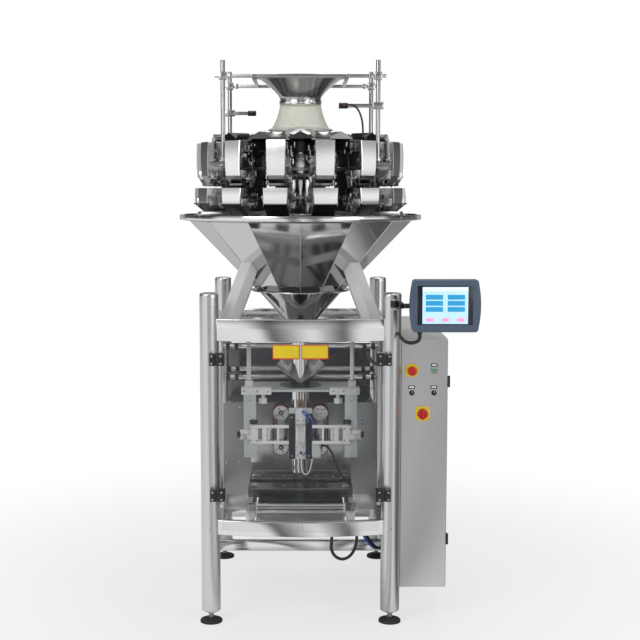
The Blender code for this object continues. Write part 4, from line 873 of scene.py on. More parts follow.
def build_screen():
    y0, y1 = SCREEN_Y
    bend = QUARTER[4]
    rows = [(0.006 * (1 - sin(a)), y1 - 0.006 * (1 - cos(a))) for a in bend]
    rows += [(0.009 * (1 - sin(a)), y0 + 0.009 * (1 - cos(a))) for a in bend[::-1]]
    sections = [bezel_outline(inset) for inset, _ in rows]
    loops = [np.stack([flat[:, 0], np.full(len(flat), y), flat[:, 1]], -1) for flat,
        (_, y) in zip(sections, rows)]
    middle = sum(SCREEN_X) / 2
    lugs = [block(*x, y1 - 0.002, -0.569, *mid(ARM_Z, 0.01), 0.002)
        for x in ((middle - 0.034, middle - 0.0223), (middle + 0.0223, middle + 0.034))]
    make("screen_bezel", [grid(np.array(loops), wrap_v=True, caps=True), *lugs], BEZEL, "hmi_panel",
        "hmi_panel")
    ports = [block(middle - 0.09, middle - 0.04, y1 - 0.001, y1 + 0.004, 1.4, 1.412, 0.001)]
    vents = [block(middle - 0.05 + 0.018 * k, middle - 0.042 + 0.018 * k, *mid(y1, 0.001), 1.5, 1.545,
            0.0004) for k in range(7)]
    make("screen_back_trim", [*ports, *vents], BEZEL_DARK, "hmi_panel")
    x0, x1, z0, z1 = 0.493, 0.7275, 1.376, 1.542
    make("screen_window", block(x0, x1, y0 - 0.0012, y0 + 0.002, z0, z1, 0.002), BEZEL_DARK, "hmi_panel")
    fx0, fx1, fz0, fz1 = x0 + 0.021, x1 - 0.021, z0 + 0.005, z1 - 0.005

    def tile(name, boxes, finish, lift):
        tiles = [block(fx0 + a * (fx1 - fx0), fx0 + b * (fx1 - fx0), y0 - lift, y0 - lift + 0.0008,
                fz0 + c * (fz1 - fz0), fz0 + d * (fz1 - fz0), 0.0003) for a, b, c, d in boxes]
        make(name, tiles, finish, "hmi_panel")

    tile("screen_field", [(0, 1, 0, 1)], SCREEN, 0.0016)
    tile("screen_head", [(0, 1, 0.885, 1)], SCREEN_WHITE, 0.002)
    left = [(0.07, 0.45, 0.66 - 0.165 * k, 0.79 - 0.165 * k) for k in range(3)]
    right = [(0.55, 0.93, 0.66 - 0.165 * k, 0.79 - 0.165 * k) for k in range(3)]
    tile("screen_blocks", left + right, SCREEN_BLUE, 0.0024)
    tile("screen_keys", [(0.08, 0.25, 0.06, 0.16), (0.42, 0.58, 0.06, 0.16), (0.75, 0.92, 0.06, 0.16)],
        SCREEN_PINK, 0.0024)
    boss = turned([(0.0083, 1.435), (0.0165, 1.435), (0.018, 1.4365), (0.018, 1.4615), (0.0165, 1.463),
            (0.0083, 1.463)], (*ARM_PIVOT, 0), steps=40)
    elbow = -0.561
    arm = [boss, block(0.424, 0.444, elbow, -0.456, 1.437, 1.461, 0.004),
        block(0.426, middle + 0.01, elbow, elbow + 0.018, 1.439, 1.459, 0.004),
        block(*mid(middle, 0.012), -0.571, elbow + 0.01, 1.441, 1.459, 0.002),
        rod(0.012, middle - 0.022, middle + 0.022, (0, -0.575, ARM_Z), "X", 32),
        *[rod(radius, low, high, (*CONDUIT_END, 0)) for radius, low,
            high in ((0.011, 1.328, 1.345), (0.009, 1.345, 1.442))]]
    make("screen_arm", arm, BLACK, "hmi_arm", "hmi_arm")


build_cabinet()
build_controls()
build_screen()


# ---------------------------------------------------------------- forming, pulling and sealing


def bored_plate(x, y, z, radius, r=0.0015, steps=72):
    """A plate with a round bore at the axis: rays from the axis meet the plate's rectangle outside and the
    bore inside, and both rims are drawn in a little at the top and bottom."""
    t = (np.arange(steps) + 0.5) * 2 * pi / steps
    c, s = np.cos(t), np.sin(t)
    reach = np.minimum(np.where(c > 0, x[1], x[0]) / c, np.where(s > 0, y[1], y[0]) / s)
    rows = [(radius + r, z[0]), (reach - r, z[0]), (reach, z[0] + r), (reach, z[1] - r), (reach - r, z[1]),
        (radius + r, z[1]), (radius, z[1] - r), (radius, z[0] + r)]
    loops = [polar(far, t, level) for far, level in rows]
    return grid(np.array(loops), wrap_u=True, wrap_v=True)


def star_knob(centre, radius, low, high, axis="Z", lobes=5, steps=60):
    """A lobed hand knob: its radius waves with the lobes, and its rims are rounded by a quarter circle."""
    t = around_steps(steps)
    edge = min(0.004, (high - low) / 3)
    inset, level = np.array(rounded(low, high, edge, QUARTER[3])).T[:, :, None]
    local = polar((radius - inset) * (1 + 0.1 * np.cos(lobes * t)), t, level)
    return grid(local[..., ORDER[axis]] + np.array(centre), wrap_v=True, caps=True)


LADDER_RAILS, LADDER_X, LADDER_Y, RAIL = (0.775, 0.85), 0.28, -0.165, 0.012


def build_former():
    """The carrier plate on its two square hangers, with clamps, knobs, side brackets and the cross
    frame."""
    plate = bored_plate((-0.262, 0.262), (-0.15, 0.1), (1.01, 1.02), TUBE_RADIUS + 0.0003)
    brackets = [block(0.206, 0.264, -0.16, -0.152, 0.703, 1.006, 0.0015)]
    make("carrier_plate", [plate, both_sides(*brackets)], GREY_PAINT, node="former_carrier", sharp=30)
    hanger = block(0.23, 0.25, -0.14, -0.12, 1.012, 1.29, 0.002)
    beam = block(-0.3827, 0.3827, -0.139, -0.121, 1.262, 1.292, 0.002)
    make("hangers", [both_sides(hanger), beam], POST_STEEL)
    clamp = joined(block(0.135, 0.275, -0.162, -0.115, 0.998, 1.032, 0.003),
        block(0.222, 0.258, -0.15, -0.112, 1.03, 1.062, 0.003))
    plates = block(0.197, 0.236, *mid(LADDER_Y, 0.0065), 0.768, 0.857, 0.002)
    rungs = [block(x0, x1, *mid(LADDER_Y, 0.004), *LADDER_RAILS, 0.001) for x0,
        x1 in ((0.1, 0.11), (0.157, 0.178))]
    ends = joined(block(0.234, 0.281, *mid(LADDER_Y, 0.0075), 0.79, 0.8115, 0.002),
        block(0.238, 0.281, *mid(LADDER_Y, 0.0075), 0.8135, 0.835, 0.002))
    rails = [block(0.0545, 0.236, *mid(LADDER_Y, RAIL / 2), *mid(z, 0.0075), 0.0018) for z in LADDER_RAILS]
    make("cross_frame", both_sides(clamp, ends, plates, *rungs, *rails), WHITE_PLASTIC)
    studs = [rod(0.0095, LADDER_Y - 0.0145, LADDER_Y - 0.006, (0.257, 0, 0.8), "Y", 32),
        rod(0.006, 0.857, 0.864, (0.217, LADDER_Y, 0)),
        rod(0.004, 0.788, 0.84, (0.257, LADDER_Y + 0.011, 0))]
    make("cross_frame_studs", both_sides(*studs), MACHINED)
    recess = turned([(0.047, 1.0203), (0.1, 1.0203), (0.101, 1.0207), (0.1, 1.0213), (0.047, 1.0213)],
        steps=72)
    make("plate_recess", recess, CAST)
    neck = rod(0.008, 0.978, 1.0, (0.174, -0.14, 0))
    make("star_knobs", both_sides(star_knob((0.174, -0.14, 0), 0.019, 0.955, 0.98), neck), WHITE_PLASTIC)
    cap = star_knob((0, LADDER_Y, 0.8125), 0.014, LADDER_X - 0.001, LADDER_X + 0.016, "X", 6)
    make("end_knobs", both_sides(cap, star_knob((0.217, LADDER_Y, 0), 0.017, 0.863, 0.882, "Z", 6)), BLACK)
    heads = [(x, -0.1628, z) for x in (0.15, 0.2, 0.262) for z in (1.015,)] + [(0.235, -0.1602, z)
        for z in (0.72, 0.9, 0.97)]
    heads += [(x, -0.1718, z) for x in (0.204, 0.229) for z in (0.785, 0.84)] + [(0.257, LADDER_Y - 0.0145,
            0.8)]
    make("former_screws", both_sides(screws(heads, radius=0.0045)), MACHINED)
    inner = TUBE_RADIUS - 0.0015
    tube = [(inner, TUBE_LOW), (TUBE_RADIUS - 0.0004, TUBE_LOW), (TUBE_RADIUS, TUBE_LOW + 0.0006),
        (TUBE_RADIUS, TUBE_TOP - 0.0005), (inner, TUBE_TOP)]
    make("film_tube", turned(tube, steps=96), MIRROR, node="forming_tube")
    ring = turned([(TUBE_RADIUS + 0.0006, 0.9985), (0.064, 0.9985), (0.066, 1.0), (0.066, 1.008),
            (0.064, 1.0095), (TUBE_RADIUS + 0.0006, 1.0095)], steps=72)
    make("tube_flange", ring, MACHINED, slot="brushed_steel")
    strip = block(-0.004, 0.004, -TUBE_RADIUS - 0.0008, -TUBE_RADIUS + 0.001, 0.87, 0.996, 0.0004)
    make("film_guide_strip", [swung(strip, -0.16), swung(strip, 0.16)],
        painted("brown_tape", (0.36, 0.2, 0.1), 0.4))


def build_collar():
    """The folded shoulder: it spreads with height as a power of it, its rim climbs from the front to the
    rear, and a sharp fold runs down the front, where the film's two edges meet."""
    steps, wall, foot = 144, 0.0025, 1.0203
    t = around_steps(steps)
    rear, aside = (1 + np.sin(t)) / 2, np.abs(np.cos(t))
    wing = np.where(rear > 0.5, 0.75 + 0.25 * aside, aside ** 0.7)
    climb = np.where(rear > 0.5, 0.35 + 0.65 * rear, 0.075 + 0.6 * aside)
    loops = []
    shares = np.linspace(0, 1, 12)
    for share, inset in [(k, 0) for k in shares] + [(k, wall) for k in shares[::-1]]:
        r = TUBE_RADIUS + 0.0003 + (0.112 - TUBE_RADIUS) * share ** 1.6 * wing + wall - inset
        z = foot + (1.151 - foot) * share * climb + (inset if share == 1 else 0)
        loops.append(polar(r, t, z))
    make("folded_collar", grid(np.array(loops), wrap_u=True, wrap_v=True), COLLAR_STEEL,
        node="forming_collar", sharp=50)


def stadium(radius, height_range, centre_x, steps=24):
    """The outline of a belt round two pulleys: two half circles and two straight runs."""
    arc = np.linspace(0, pi, steps)
    z0, z1 = height_range
    upper = np.stack([centre_x + radius * np.cos(arc), z1 + radius * np.sin(arc)], -1)
    lower = np.stack([centre_x - radius * np.cos(arc), z0 - radius * np.sin(arc)], -1)
    span = np.linspace(0, 1, 26)[1:-1, None]
    left = upper[-1] + (lower[0] - upper[-1]) * span
    right = lower[-1] + (upper[0] - lower[-1]) * span
    return np.vstack([upper, left, lower, right])


def build_belts():
    rear = 0.03
    for side, name in ((-1, "left"), (1, "right")):
        turn = sided(side)
        body = "carriage_" + name
        outer = stadium(PULLEY_RADIUS + 0.0043, PULLEY_HEIGHTS, PULLEY_X)
        inner = stadium(PULLEY_RADIUS + 0.0003, PULLEY_HEIGHTS, PULLEY_X)
        rows = [(outer, -0.0212), (outer, 0.0212), (inner, 0.022), (inner, -0.022)]
        belt = grid(np.array([np.column_stack([flat[:, 0], np.full(len(flat), y), flat[:, 1]]) for flat,
                    y in rows]), wrap_u=True, wrap_v=True)
        teeth = []
        for k in range(15):
            z = PULLEY_HEIGHTS[0] + (k + 0.5) * (PULLEY_HEIGHTS[1] - PULLEY_HEIGHTS[0]) / 15
            teeth += [block(*mid(PULLEY_X + s * (PULLEY_RADIUS - 0.0012), 0.0018), -0.0215, 0.0215,
                    *mid(z, 0.0026), 0.0008) for s in (-1, 1)]
        make("belt_" + name, turn(joined(belt, *teeth)), BELT, body, "pull_belt_" + name, sharp=30)
        plate = block(PULLEY_X - 0.028, PULLEY_X + 0.03, rear, rear + 0.01, PULLEY_HEIGHTS[0] - 0.02,
            PULLEY_HEIGHTS[1] + 0.02, 0.002)
        arm = block(PULLEY_X + 0.02, 0.167, rear + 0.001, rear + 0.009, 0.793, 0.817, 0.0015)
        forward = block(0.152, 0.166, -0.1587, rear + 0.008, 0.795, 0.815, 0.002)
        shoe = block(0.14, 0.178, -0.1587, -0.1467, 0.771, 0.854, 0.002)
        slat = block(*mid(PULLEY_X, 0.014), -0.029, -0.0265, PULLEY_HEIGHTS[0] + 0.038, PULLEY_HEIGHTS[1]
            - 0.038, 0.001)
        pins = [rod(0.008, -0.029, rear + 0.005, (PULLEY_X, 0, z), "Y") for z in PULLEY_HEIGHTS]
        make("belt_frame_" + name, turn(joined(arm, forward, shoe, *pins)), ALUMINIUM, body,
            "belt_carriage_" + name)
        make("belt_plate_" + name, turn(joined(plate, slat)), SHEET_STEEL, body)
        if side > 0:
            ends = np.concatenate([np.linspace(-pi / 2, pi / 2, 12), np.linspace(pi / 2, 3 * pi / 2, 12)])
            reach = np.where(np.arange(24) < 12, PULLEY_X + 0.02, PULLEY_X - 0.016)
            link = [(x + 0.017 * cos(a), PULLEY_HEIGHTS[1] + 0.017 * sin(a)) for x, a in zip(reach, ends)]
            make("link_plate", prism(link, "Y", -0.0345, -0.0305, 0.001), WHITE_PLASTIC, body)
            make("link_screws",
                screws([(PULLEY_X + dx, -0.0345, PULLEY_HEIGHTS[1]) for dx in (-0.016, 0.002, 0.02)],
                    radius=0.005), MACHINED, body)
        hubs = [rod(0.0112, -0.03, -0.0255, (PULLEY_X, 0, z), "Y", 32) for z in PULLEY_HEIGHTS]
        make("belt_hubs_" + name, turn(joined(*hubs)), CAST, body)
        make("belt_frame_screws_" + name,
            turn(screws([(PULLEY_X, -0.03, z) for z in PULLEY_HEIGHTS]
                    + [(0.159, -0.1587, z) for z in (0.79, 0.835)], radius=0.0055)), MACHINED, body)
        for z, level in zip(PULLEY_HEIGHTS, ("lower", "upper")):
            node = f"pulley_{name}_{level}"
            rim = [(0.0083, -0.0245), (0.0135, -0.026), (0.0145, -0.0235), (0.03, -0.0235),
                (0.0315, -0.026), (0.035, -0.026), (0.036, -0.025), (0.036, 0.025), (0.035, 0.026),
                (0.0083, 0.026)]
            wheel = turned(rim, (side * PULLEY_X, 0, z), "Y", 64)
            holes = [(side * PULLEY_X + 0.0222 * cos(a), -0.0235, z + 0.0222 * sin(a)) for a in np.arange(4)
                * pi / 2 + 0.5]
            make(node + "_wheel", wheel, ALUMINIUM, node, node)
            make(node + "_screws", screws(holes, radius=0.0035, height=0.002), CAST, node)


SEALER = "vertical_sealer"


def build_sealer():
    """The vertical sealing bar: a pale centre plate with an arched top between two dark bars, with its
    heater block, its sealing edge and its air fittings."""
    face = -TUBE_RADIUS - 0.011
    arch = np.linspace(0, pi, 16)
    outline = [(-0.024, 0.683), (0.024, 0.683)] + [(0.024 * cos(a), 0.903 + 0.024 * sin(a)) for a in arch]
    plate = prism(outline, "Y", face - 0.0555, face - 0.04, 0.002)
    back = block(-0.055, 0.055, face - 0.046, face - 0.032, 0.681, 0.925, 0.002)
    make("sealer_back", back, GREY_PAINT, SEALER, SEALER)
    make("sealer_plate", plate, WHITE_PLASTIC, SEALER)
    bars = both_sides(block(0.027, 0.054, face - 0.062, face - 0.044, 0.685, 0.899, 0.003))
    make("sealer_bars", bars, BAR_BLACK, SEALER)
    edge = block(-0.007, 0.007, face - 0.034, face, 0.701, 0.909, 0.003)
    slide = block(-0.022, 0.022, LADDER_Y + RAIL / 2 + 0.0003, face - 0.04, 0.773, 0.852, 0.0015)
    make("sealer_edge", [edge, slide], ALUMINIUM, SEALER)
    make("heater_box", block(0.053, 0.095, face - 0.07, face - 0.036, 0.69, 0.764, 0.003), GREY_PAINT,
        SEALER)
    heads = [(x, face - 0.0555, z) for x in (-0.013, 0.013) for z in (0.7, 0.742, 0.868)] + [(x,
            face - 0.062, z) for x in (-0.0405, 0.0405) for z in (0.7, 0.884)]
    heads += [(x, face - 0.07, z) for x in (0.061, 0.087) for z in (0.697, 0.757)]
    make("sealer_screws", screws(heads, radius=0.0038), MACHINED, SEALER)
    y = face - 0.064
    air = [hose(through([(0.01, y - 0.001, 0.915), (0.024, y - 0.004, 0.908), (0.044, y - 0.006, 0.89),
                    (0.057, y - 0.006, 0.862), (0.06, y - 0.005, 0.83), (0.06, y - 0.002, 0.8)]), 0.0032),
        hose(through([(0.006, y - 0.001, 0.912), (0.02, y - 0.006, 0.898), (0.033, y - 0.008, 0.88),
                    (0.037, y - 0.007, 0.862)]), 0.0032),
        hose(through([(0.002, y - 0.001, 0.712), (0.01, y - 0.005, 0.706), (0.02, y - 0.006, 0.712),
                    (0.026, y - 0.006, 0.724)]), 0.003)]
    drop = through([(0.004, y - 0.002, 0.69), (0.005, y - 0.003, 0.65), (0.012, y - 0.003, 0.622),
            (0.026, y - 0.003, 0.612), (0.04, y - 0.003, 0.624), (0.05, y - 0.003, 0.654),
            (0.056, y - 0.002, 0.69)], 8)
    make("drain_tube", hose(drop, 0.0034, 12), WHITE_PLASTIC, SEALER)
    lead = through([(0.094, y + 0.004, 0.752), (0.112, y + 0.002, 0.75), (0.132, y, 0.738),
            (0.149, y - 0.002, 0.712), (0.162, y - 0.002, 0.672), (0.18, y, 0.63), (0.206, y, 0.59),
            (0.238, y, 0.562)], 8)
    make("heater_lead", [hose(lead, 0.0052, 14), rod(0.008, 0.093, 0.112, (0, y + 0.003, 0.752), "X", 20,
                0.002)], RUBBER, SEALER)
    make("air_lines", air, BLUE, SEALER)
    fittings = [rod(0.005, z - 0.006, z + 0.006, (x, y - 0.001, 0)) for x,
        z in ((0.06, 0.797), (0.037, 0.858), (0.056, 0.694), (0.002, 0.716))]
    make("air_fittings", fittings, BLACK, SEALER)


def build_jaws():
    """Steel jaws with a knife groove and rows of fine teeth on their sealing faces."""
    low, high = 0.5093, 0.5543
    middle = (low + high) / 2
    for side, name in ((-1, "front_jaw"), (1, "rear_jaw")):
        near, far = side * 0.04, side * 0.15
        core = [(near + side * 0.001, low), (far - side * 0.002, low), (far, low + 0.002),
            (far, high - 0.002), (far - side * 0.002, high), (near + side * 0.001, high)]
        face = []
        for z0, z1 in ((high - 0.002, middle + 0.005), (middle - 0.005, low + 0.002)):
            levels = np.linspace(z0, z1, 17)
            face += [(near + side * (0.0012 if k % 2 else 0.0), z) for k, z in enumerate(levels)]
            if z0 > middle:
                face += [(near + side * 0.008, middle + 0.004), (near + side * 0.008, middle - 0.004)]
        outline = [(y, z) for y, z in core + face]
        make(name + "_body", prism(outline, "X", -0.245, 0.245), DARK_STEEL, name, name, sharp=20)
        blocks = [block(*mid(sx * 0.215, 0.02), *sorted((side * 0.075, side * 0.125)), high - 0.001,
                high + 0.01, 0.002) for sx in (-1, 1)]
        heads = [(x, side * 0.095, high) for x in (-0.16, -0.08, 0, 0.08, 0.16)]
        make(name + "_caps", [*blocks, screws(heads, "Z", 1, 0.0055, 0.004)], MACHINED, name)


def build_jaw_guides():
    rods = both_sides(rod(0.012, -0.3, 0.39, (0.215, 0, 0.497), "Y", 32))
    make("guide_rods", rods, MIRROR, node="jaw_guides")
    front = block(-0.2, 0.2, -0.312, -0.288, 0.484, 0.518, 0.002)
    rear = block(-0.3827, 0.3827, 0.378, 0.402, 0.483, 0.519, 0.002)
    groove = [block(-0.196, 0.196, -0.3135, -0.311, *mid(z, 0.0018), 0.0006) for z in (0.494, 0.508)]
    make("guide_rails", [front, rear], ALUMINIUM)
    make("rail_grooves", groove, CAST)
    blocks = block(0.196, 0.236, -0.315, -0.285, 0.481, 0.521, 0.003)
    seat = block(0.203, 0.243, float(bow(0.215)) - 0.004, -0.292, 0.4753, 0.521, 0.002)
    make("guide_blocks", both_sides(blocks), WHITE_PLASTIC)
    make("guide_seats", both_sides(seat), SHEET_STEEL)
    # painted shade: the black plate under the jaws is partly a real tray, and it reaches under the front
    # jaw so the view below the jaws ends on black, where the chamber is in shade
    tray = [block(-0.199, 0.199, -0.3, -0.045, 0.488, 0.492, 0.001),
        block(-0.199, 0.199, 0.045, 0.372, 0.488, 0.492, 0.001)]
    tray += [block(-0.199, 0.199, *mid(y, 0.0015), 0.489, 0.502, 0.001) for y in (-0.284, -0.1596)]
    make("chamber_shade_tray", tray, BLACK)
    front_edge = [(x, float(bow(x)) - 0.003) for x in np.linspace(-0.198, 0.198, 17)]
    make("chamber_apron", prism(front_edge + [(0.198, -0.313), (-0.198, -0.313)], "Z", 0.478, 0.48),
        WALL_STEEL)
    side = block(0.2395, 0.34, -0.286, -0.2835, 0.489, 0.56, 0.001)
    make("inner_panels", both_sides(side), SHEET_STEEL)


def build_reel():
    """A roll whose flat ends carry faint rings, on a paper core and a steel mandrel with clamping cones."""
    y, z, half, big = 0.8, 0.62, 0.26, 0.15
    radii = np.linspace(0.046, big - 0.001, 60)
    end = [(r, half - 0.0004 - 0.0005 * (k % 2)) for k, r in enumerate(radii)]
    profile = [(0.046, -half)] + [(r, -h) for r, h in end] + [(big, -half + 0.002),
        (big, half - 0.002)] + end[::-1] + [(0.046, half)]
    make("film_roll", turned(profile, (0, y, z), "X", 96), FILM, "film_reel", "film_reel", sharp=30)
    core = turned([(0.038, -half - 0.004), (0.0462, -half - 0.004), (0.0462, half + 0.004),
            (0.038, half + 0.004)], (0, y, z), "X", 64)
    make("paper_core", core, painted("core_card", (0.42, 0.3, 0.19), 0.8, 300.0, 0.3), "film_reel")
    cone = [(0.0175, half - 0.01), (0.0375, half - 0.01), (0.044, half + 0.006), (0.05, half + 0.008),
        (0.05, half + 0.02), (0.03, half + 0.024), (0.03, half + 0.04), (0.0175, half + 0.04)]
    make("mandrel", [rod(0.018, -0.385, 0.385, (0, y, z), "X", 40),
            both_sides(turned(cone, (0, y, z), "X", 48))], MACHINED, "film_reel")


def build_chamber_extras():
    """Small things on the chamber's walls: a drive box, terminal strips, edge strips and clipped lines."""
    make("drive_box", block(0.128, 0.172, 0.47, 0.499, 1.1, 1.15, 0.004),
        painted("blue_box", (0.02, 0.07, 0.2), 0.4))
    strips = both_sides(block(0.362, 0.3815, 0.15, 0.176, 0.905, 1.225, 0.002))
    make("edge_strips", strips, SHEET_STEEL)
    blocks = both_sides(block(0.296, 0.318, 0.44, 0.466, 0.985, 1.13, 0.004),
        block(0.3, 0.314, 0.4, 0.44, 1.04, 1.075, 0.003))
    make("bar_brackets", blocks, CAST)
    jamb = both_sides(block(0.344, 0.3605, -0.38, -0.372, 0.532, 1.228, 0.002))
    make("door_jambs", jamb, POST_STEEL)
    line = through([(0.3, -0.36, 1.226), (0.306, -0.362, 1.2), (0.322, -0.366, 1.18),
            (0.342, -0.372, 1.172), (0.36, -0.386, 1.172)], 8)
    make("hinge_cable_cover", hose(line, 0.0085, 16, 0.001, 0.005), CAST)
    wire = through([(0.19, 0.482, 1.112), (0.165, 0.478, 1.09), (0.14, 0.48, 1.07), (0.128, 0.488, 1.055)],
        8)
    wire2 = through([(0.33, 0.19, 0.985), (0.345, 0.192, 0.97), (0.356, 0.192, 0.976),
            (0.366, 0.19, 0.975)], 8)
    make("wall_wires", [hose(wire, 0.0016, 8), hose(wire2, 0.0016, 8)],
        painted("orange_wire", (0.62, 0.1, 0.04), 0.4))
    dots = [rod(0.004, 0.197, 0.2005, (0.305, 0, z), "Y", 16) for z in (0.792, 0.812)]
    make("wall_ports", dots, BLUE)
    pads = [block(0.135, 0.245, 0.193, 0.2005, 0.6, 0.72, 0.002), block(-0.245, -0.135, 0.193, 0.2005, 0.6,
            0.72, 0.002)]
    make("wall_plates", pads, ALUMINIUM)


build_chamber_extras()
build_former()
build_collar()
build_belts()
build_sealer()
build_jaws()
build_jaw_guides()
build_reel()

# ---------------------------------------------------------------- cone, funnel and stand


def build_cone():
    """A pyramid of fourteen flat facets with a dark flange at the rim, bright rounded lip bars and folded
    seams."""
    profile = [(0.209, 1.479), (0.519, 1.8), (0.519, 1.804), (0.205, 1.481), (0.205, 1.479)]
    make("cone_facets", turned(profile, steps=HEADS, phase=FRONT), CONE_STEEL, node="collecting_cone",
        sharp=8)
    flange = [(0.519, 1.8), (0.566, 1.808), (0.566, 1.812), (0.5165, 1.804)]
    make("cone_flange", turned(flange, steps=HEADS, phase=FRONT), DARK_STEEL, sharp=8)

    def corner(r, z, i):
        return np.array([r * cos(FRONT + i * STEP), r * sin(FRONT + i * STEP), z])

    lips = [bar_between(corner(0.5665, 1.8195, i), corner(0.5665, 1.8195, i + 1), 0.006, 0.0225, 0.0028)
        for i in range(HEADS)]
    make("cone_lip", lips, HOPPER_STEEL)
    seams = [hose(np.linspace(corner(0.2095, 1.48, i), corner(0.5192, 1.8005, i), 4), 0.0022, 8)
        for i in range(HEADS)]
    make("cone_seams", seams, ALUMINIUM, slot="polished_steel")


def build_funnel():
    top = 1.4787
    profile = [(0.229, top - 0.002), (0.2295, top - 0.001), (0.229, top), (0.2, top), (0.075, 1.333),
        (0.0382, TUBE_TOP + 0.008), (0.0382, TUBE_TOP - 0.04), (0.0402, TUBE_TOP - 0.04),
        (0.0402, TUBE_TOP + 0.006), (0.077, 1.331), (0.202, top - 0.002)]
    make("funnel_sheet", turned(profile, steps=112), FUNNEL_STEEL, node="discharge_funnel")
    bead = turned([(0.2255, top - 0.006), (0.2305, top - 0.006), (0.232, top - 0.0035),
            (0.2305, top - 0.0012), (0.2255, top - 0.0012)], steps=112)
    band = turned([(0.0403, 1.262), (0.0425, 1.262), (0.0432, 1.264), (0.0432, 1.276), (0.0425, 1.278),
            (0.0403, 1.278)], steps=72)
    make("funnel_rings", [bead, band], HOPPER_STEEL)


def build_stand():
    """Fine work on the stand: its leg finish and screws in its foot plates."""
    refinish(LEG_STEEL, "cone_stand")
    heads = [(x, y + dy, 1.338) for x in (0.3, 0.395) for y in (-0.33, 0.33) for dy in (-0.014, 0.032)]
    make("stand_screws", both_sides(screws(heads, "Z", 1, 0.0065, 0.005)), MACHINED)


build_cone()
build_funnel()
build_stand()

# ---------------------------------------------------------------- weigher


def drum_profile():
    column = [(0.001, 1.835), (0.119, 1.835), (0.12, 1.837), (0.12, 1.988), (0.124, 1.992)]
    drum = [(0.19, 2.008), (0.196, 2.012), (0.2, 2.02), (0.2, 2.06), (0.1985, 2.0615), (0.1985, 2.0635),
        (0.2, 2.065), (0.2, 2.107), (0.196, 2.113), (0.19, 2.115), (0.001, 2.115)]
    return column + drum


def hopper_shell(outer, inner, width, foot_outer, foot_inner, levels, closed_foot, crown=0.0, foot=False,
    r=0.0022, wall=0.002):
    """A bucket facing -Y with rounded upright corners. It widens by 8 mm from its knee to its rim, its
    outer face crowned by a parabola; its foot tapers below the knee. The sheet turns over and comes back
    inside."""
    low, knee, top = levels
    bend = QUARTER[2]
    drop = 0.0 if closed_foot else knee - 0.0015 - low
    rows = [(outer + crown * 4 * k * (1 - k), inner, width / 2 + 0.004 * k, knee + (top - knee) * k,
            knee + (top - knee) * k) for k in np.linspace(0, 1, 9)]
    if foot:
        rows = [(foot_outer, foot_inner, width / 2 - 0.006, low + drop, low),
            (outer, inner, width / 2 - 0.0002, knee + 0.0004, knee + 0.0004)]

    def loop(row, inset, lift=0.0):
        far, near, half, far_z, near_z = row
        slope = (far_z - near_z) / (far - near)
        far, near, half = far - inset, near + inset, half - inset
        points = []
        for sx, edge, start in ((1, near, 0), (-1, near, pi / 2), (-1, far, pi), (1, far, 1.5 * pi)):
            way = 1 if edge == near else -1
            for a in bend:
                x = sx * (half - r) + r * cos(a + start)
                y = -edge - way * r + r * sin(a + start)
                points.append((x, y, near_z + slope * (-y - near) + lift))
        return points

    shut = foot and closed_foot
    loops = [loop(row, 0) for row in rows] + [loop(row, wall, wall if shut and row is rows[0] else 0.0)
        for row in rows[::-1]]
    return grid(np.array(loops), wrap_u=not shut, wrap_v=True, caps=shut)


def spring(start, end, radius=0.0042, wire=0.0009, turns=9):
    """A helix between two points: its angle grows steadily along the line."""
    a, b = np.array(start), np.array(end)
    run = (b - a) / np.linalg.norm(b - a)
    side = np.cross(run, (1.0, 0.2, 0.1))
    side /= np.linalg.norm(side)
    up = np.cross(side, run)
    share = np.linspace(0, 1, turns * 8 + 1)[:, None]
    angle = share * turns * 2 * pi
    return hose(a + (b - a) * share + radius * (np.cos(angle) * side + np.sin(angle) * up), wire, 5)


def build_weigher_core():
    make("weigher_drum", turned(drum_profile(), steps=96, closed=False), MIRROR, node="weigher_body")
    arms = joined(block(-0.015, 0.015, -0.569, -0.09, 1.8313, 1.849, 0.003),
        block(-0.015, 0.015, -0.458, -0.17, 2.048, 2.0697, 0.003))
    make("spider_arms", around(arms, ARM_TURNS), SHEET_STEEL)
    collars, spokes = [], []
    for core, reach, low, high in ((0.2, 0.378, 2.03, 2.044), (0.12, 0.373, 1.902, 1.916)):
        collars.append(turned([(core + 0.0003, low), (core + 0.011, low), (core + 0.012, low + 0.001),
                    (core + 0.012, high - 0.001), (core + 0.011, high), (core + 0.0003, high)], steps=84))
        spokes.append(block(-0.009, 0.009, -reach + 0.001, -core - 0.007, low + 0.001, high - 0.0015,
                0.0015))
    make("head_carriers", [*collars, around(joined(*spokes))], SHEET_STEEL)
    heads = [swung(bolt((0, -0.1998, z), "Y", -1, 0.0045, 0.003), a) for a in SEAM_TURNS
        for z in (2.03, 2.097)]
    make("drum_screws", heads, MACHINED)


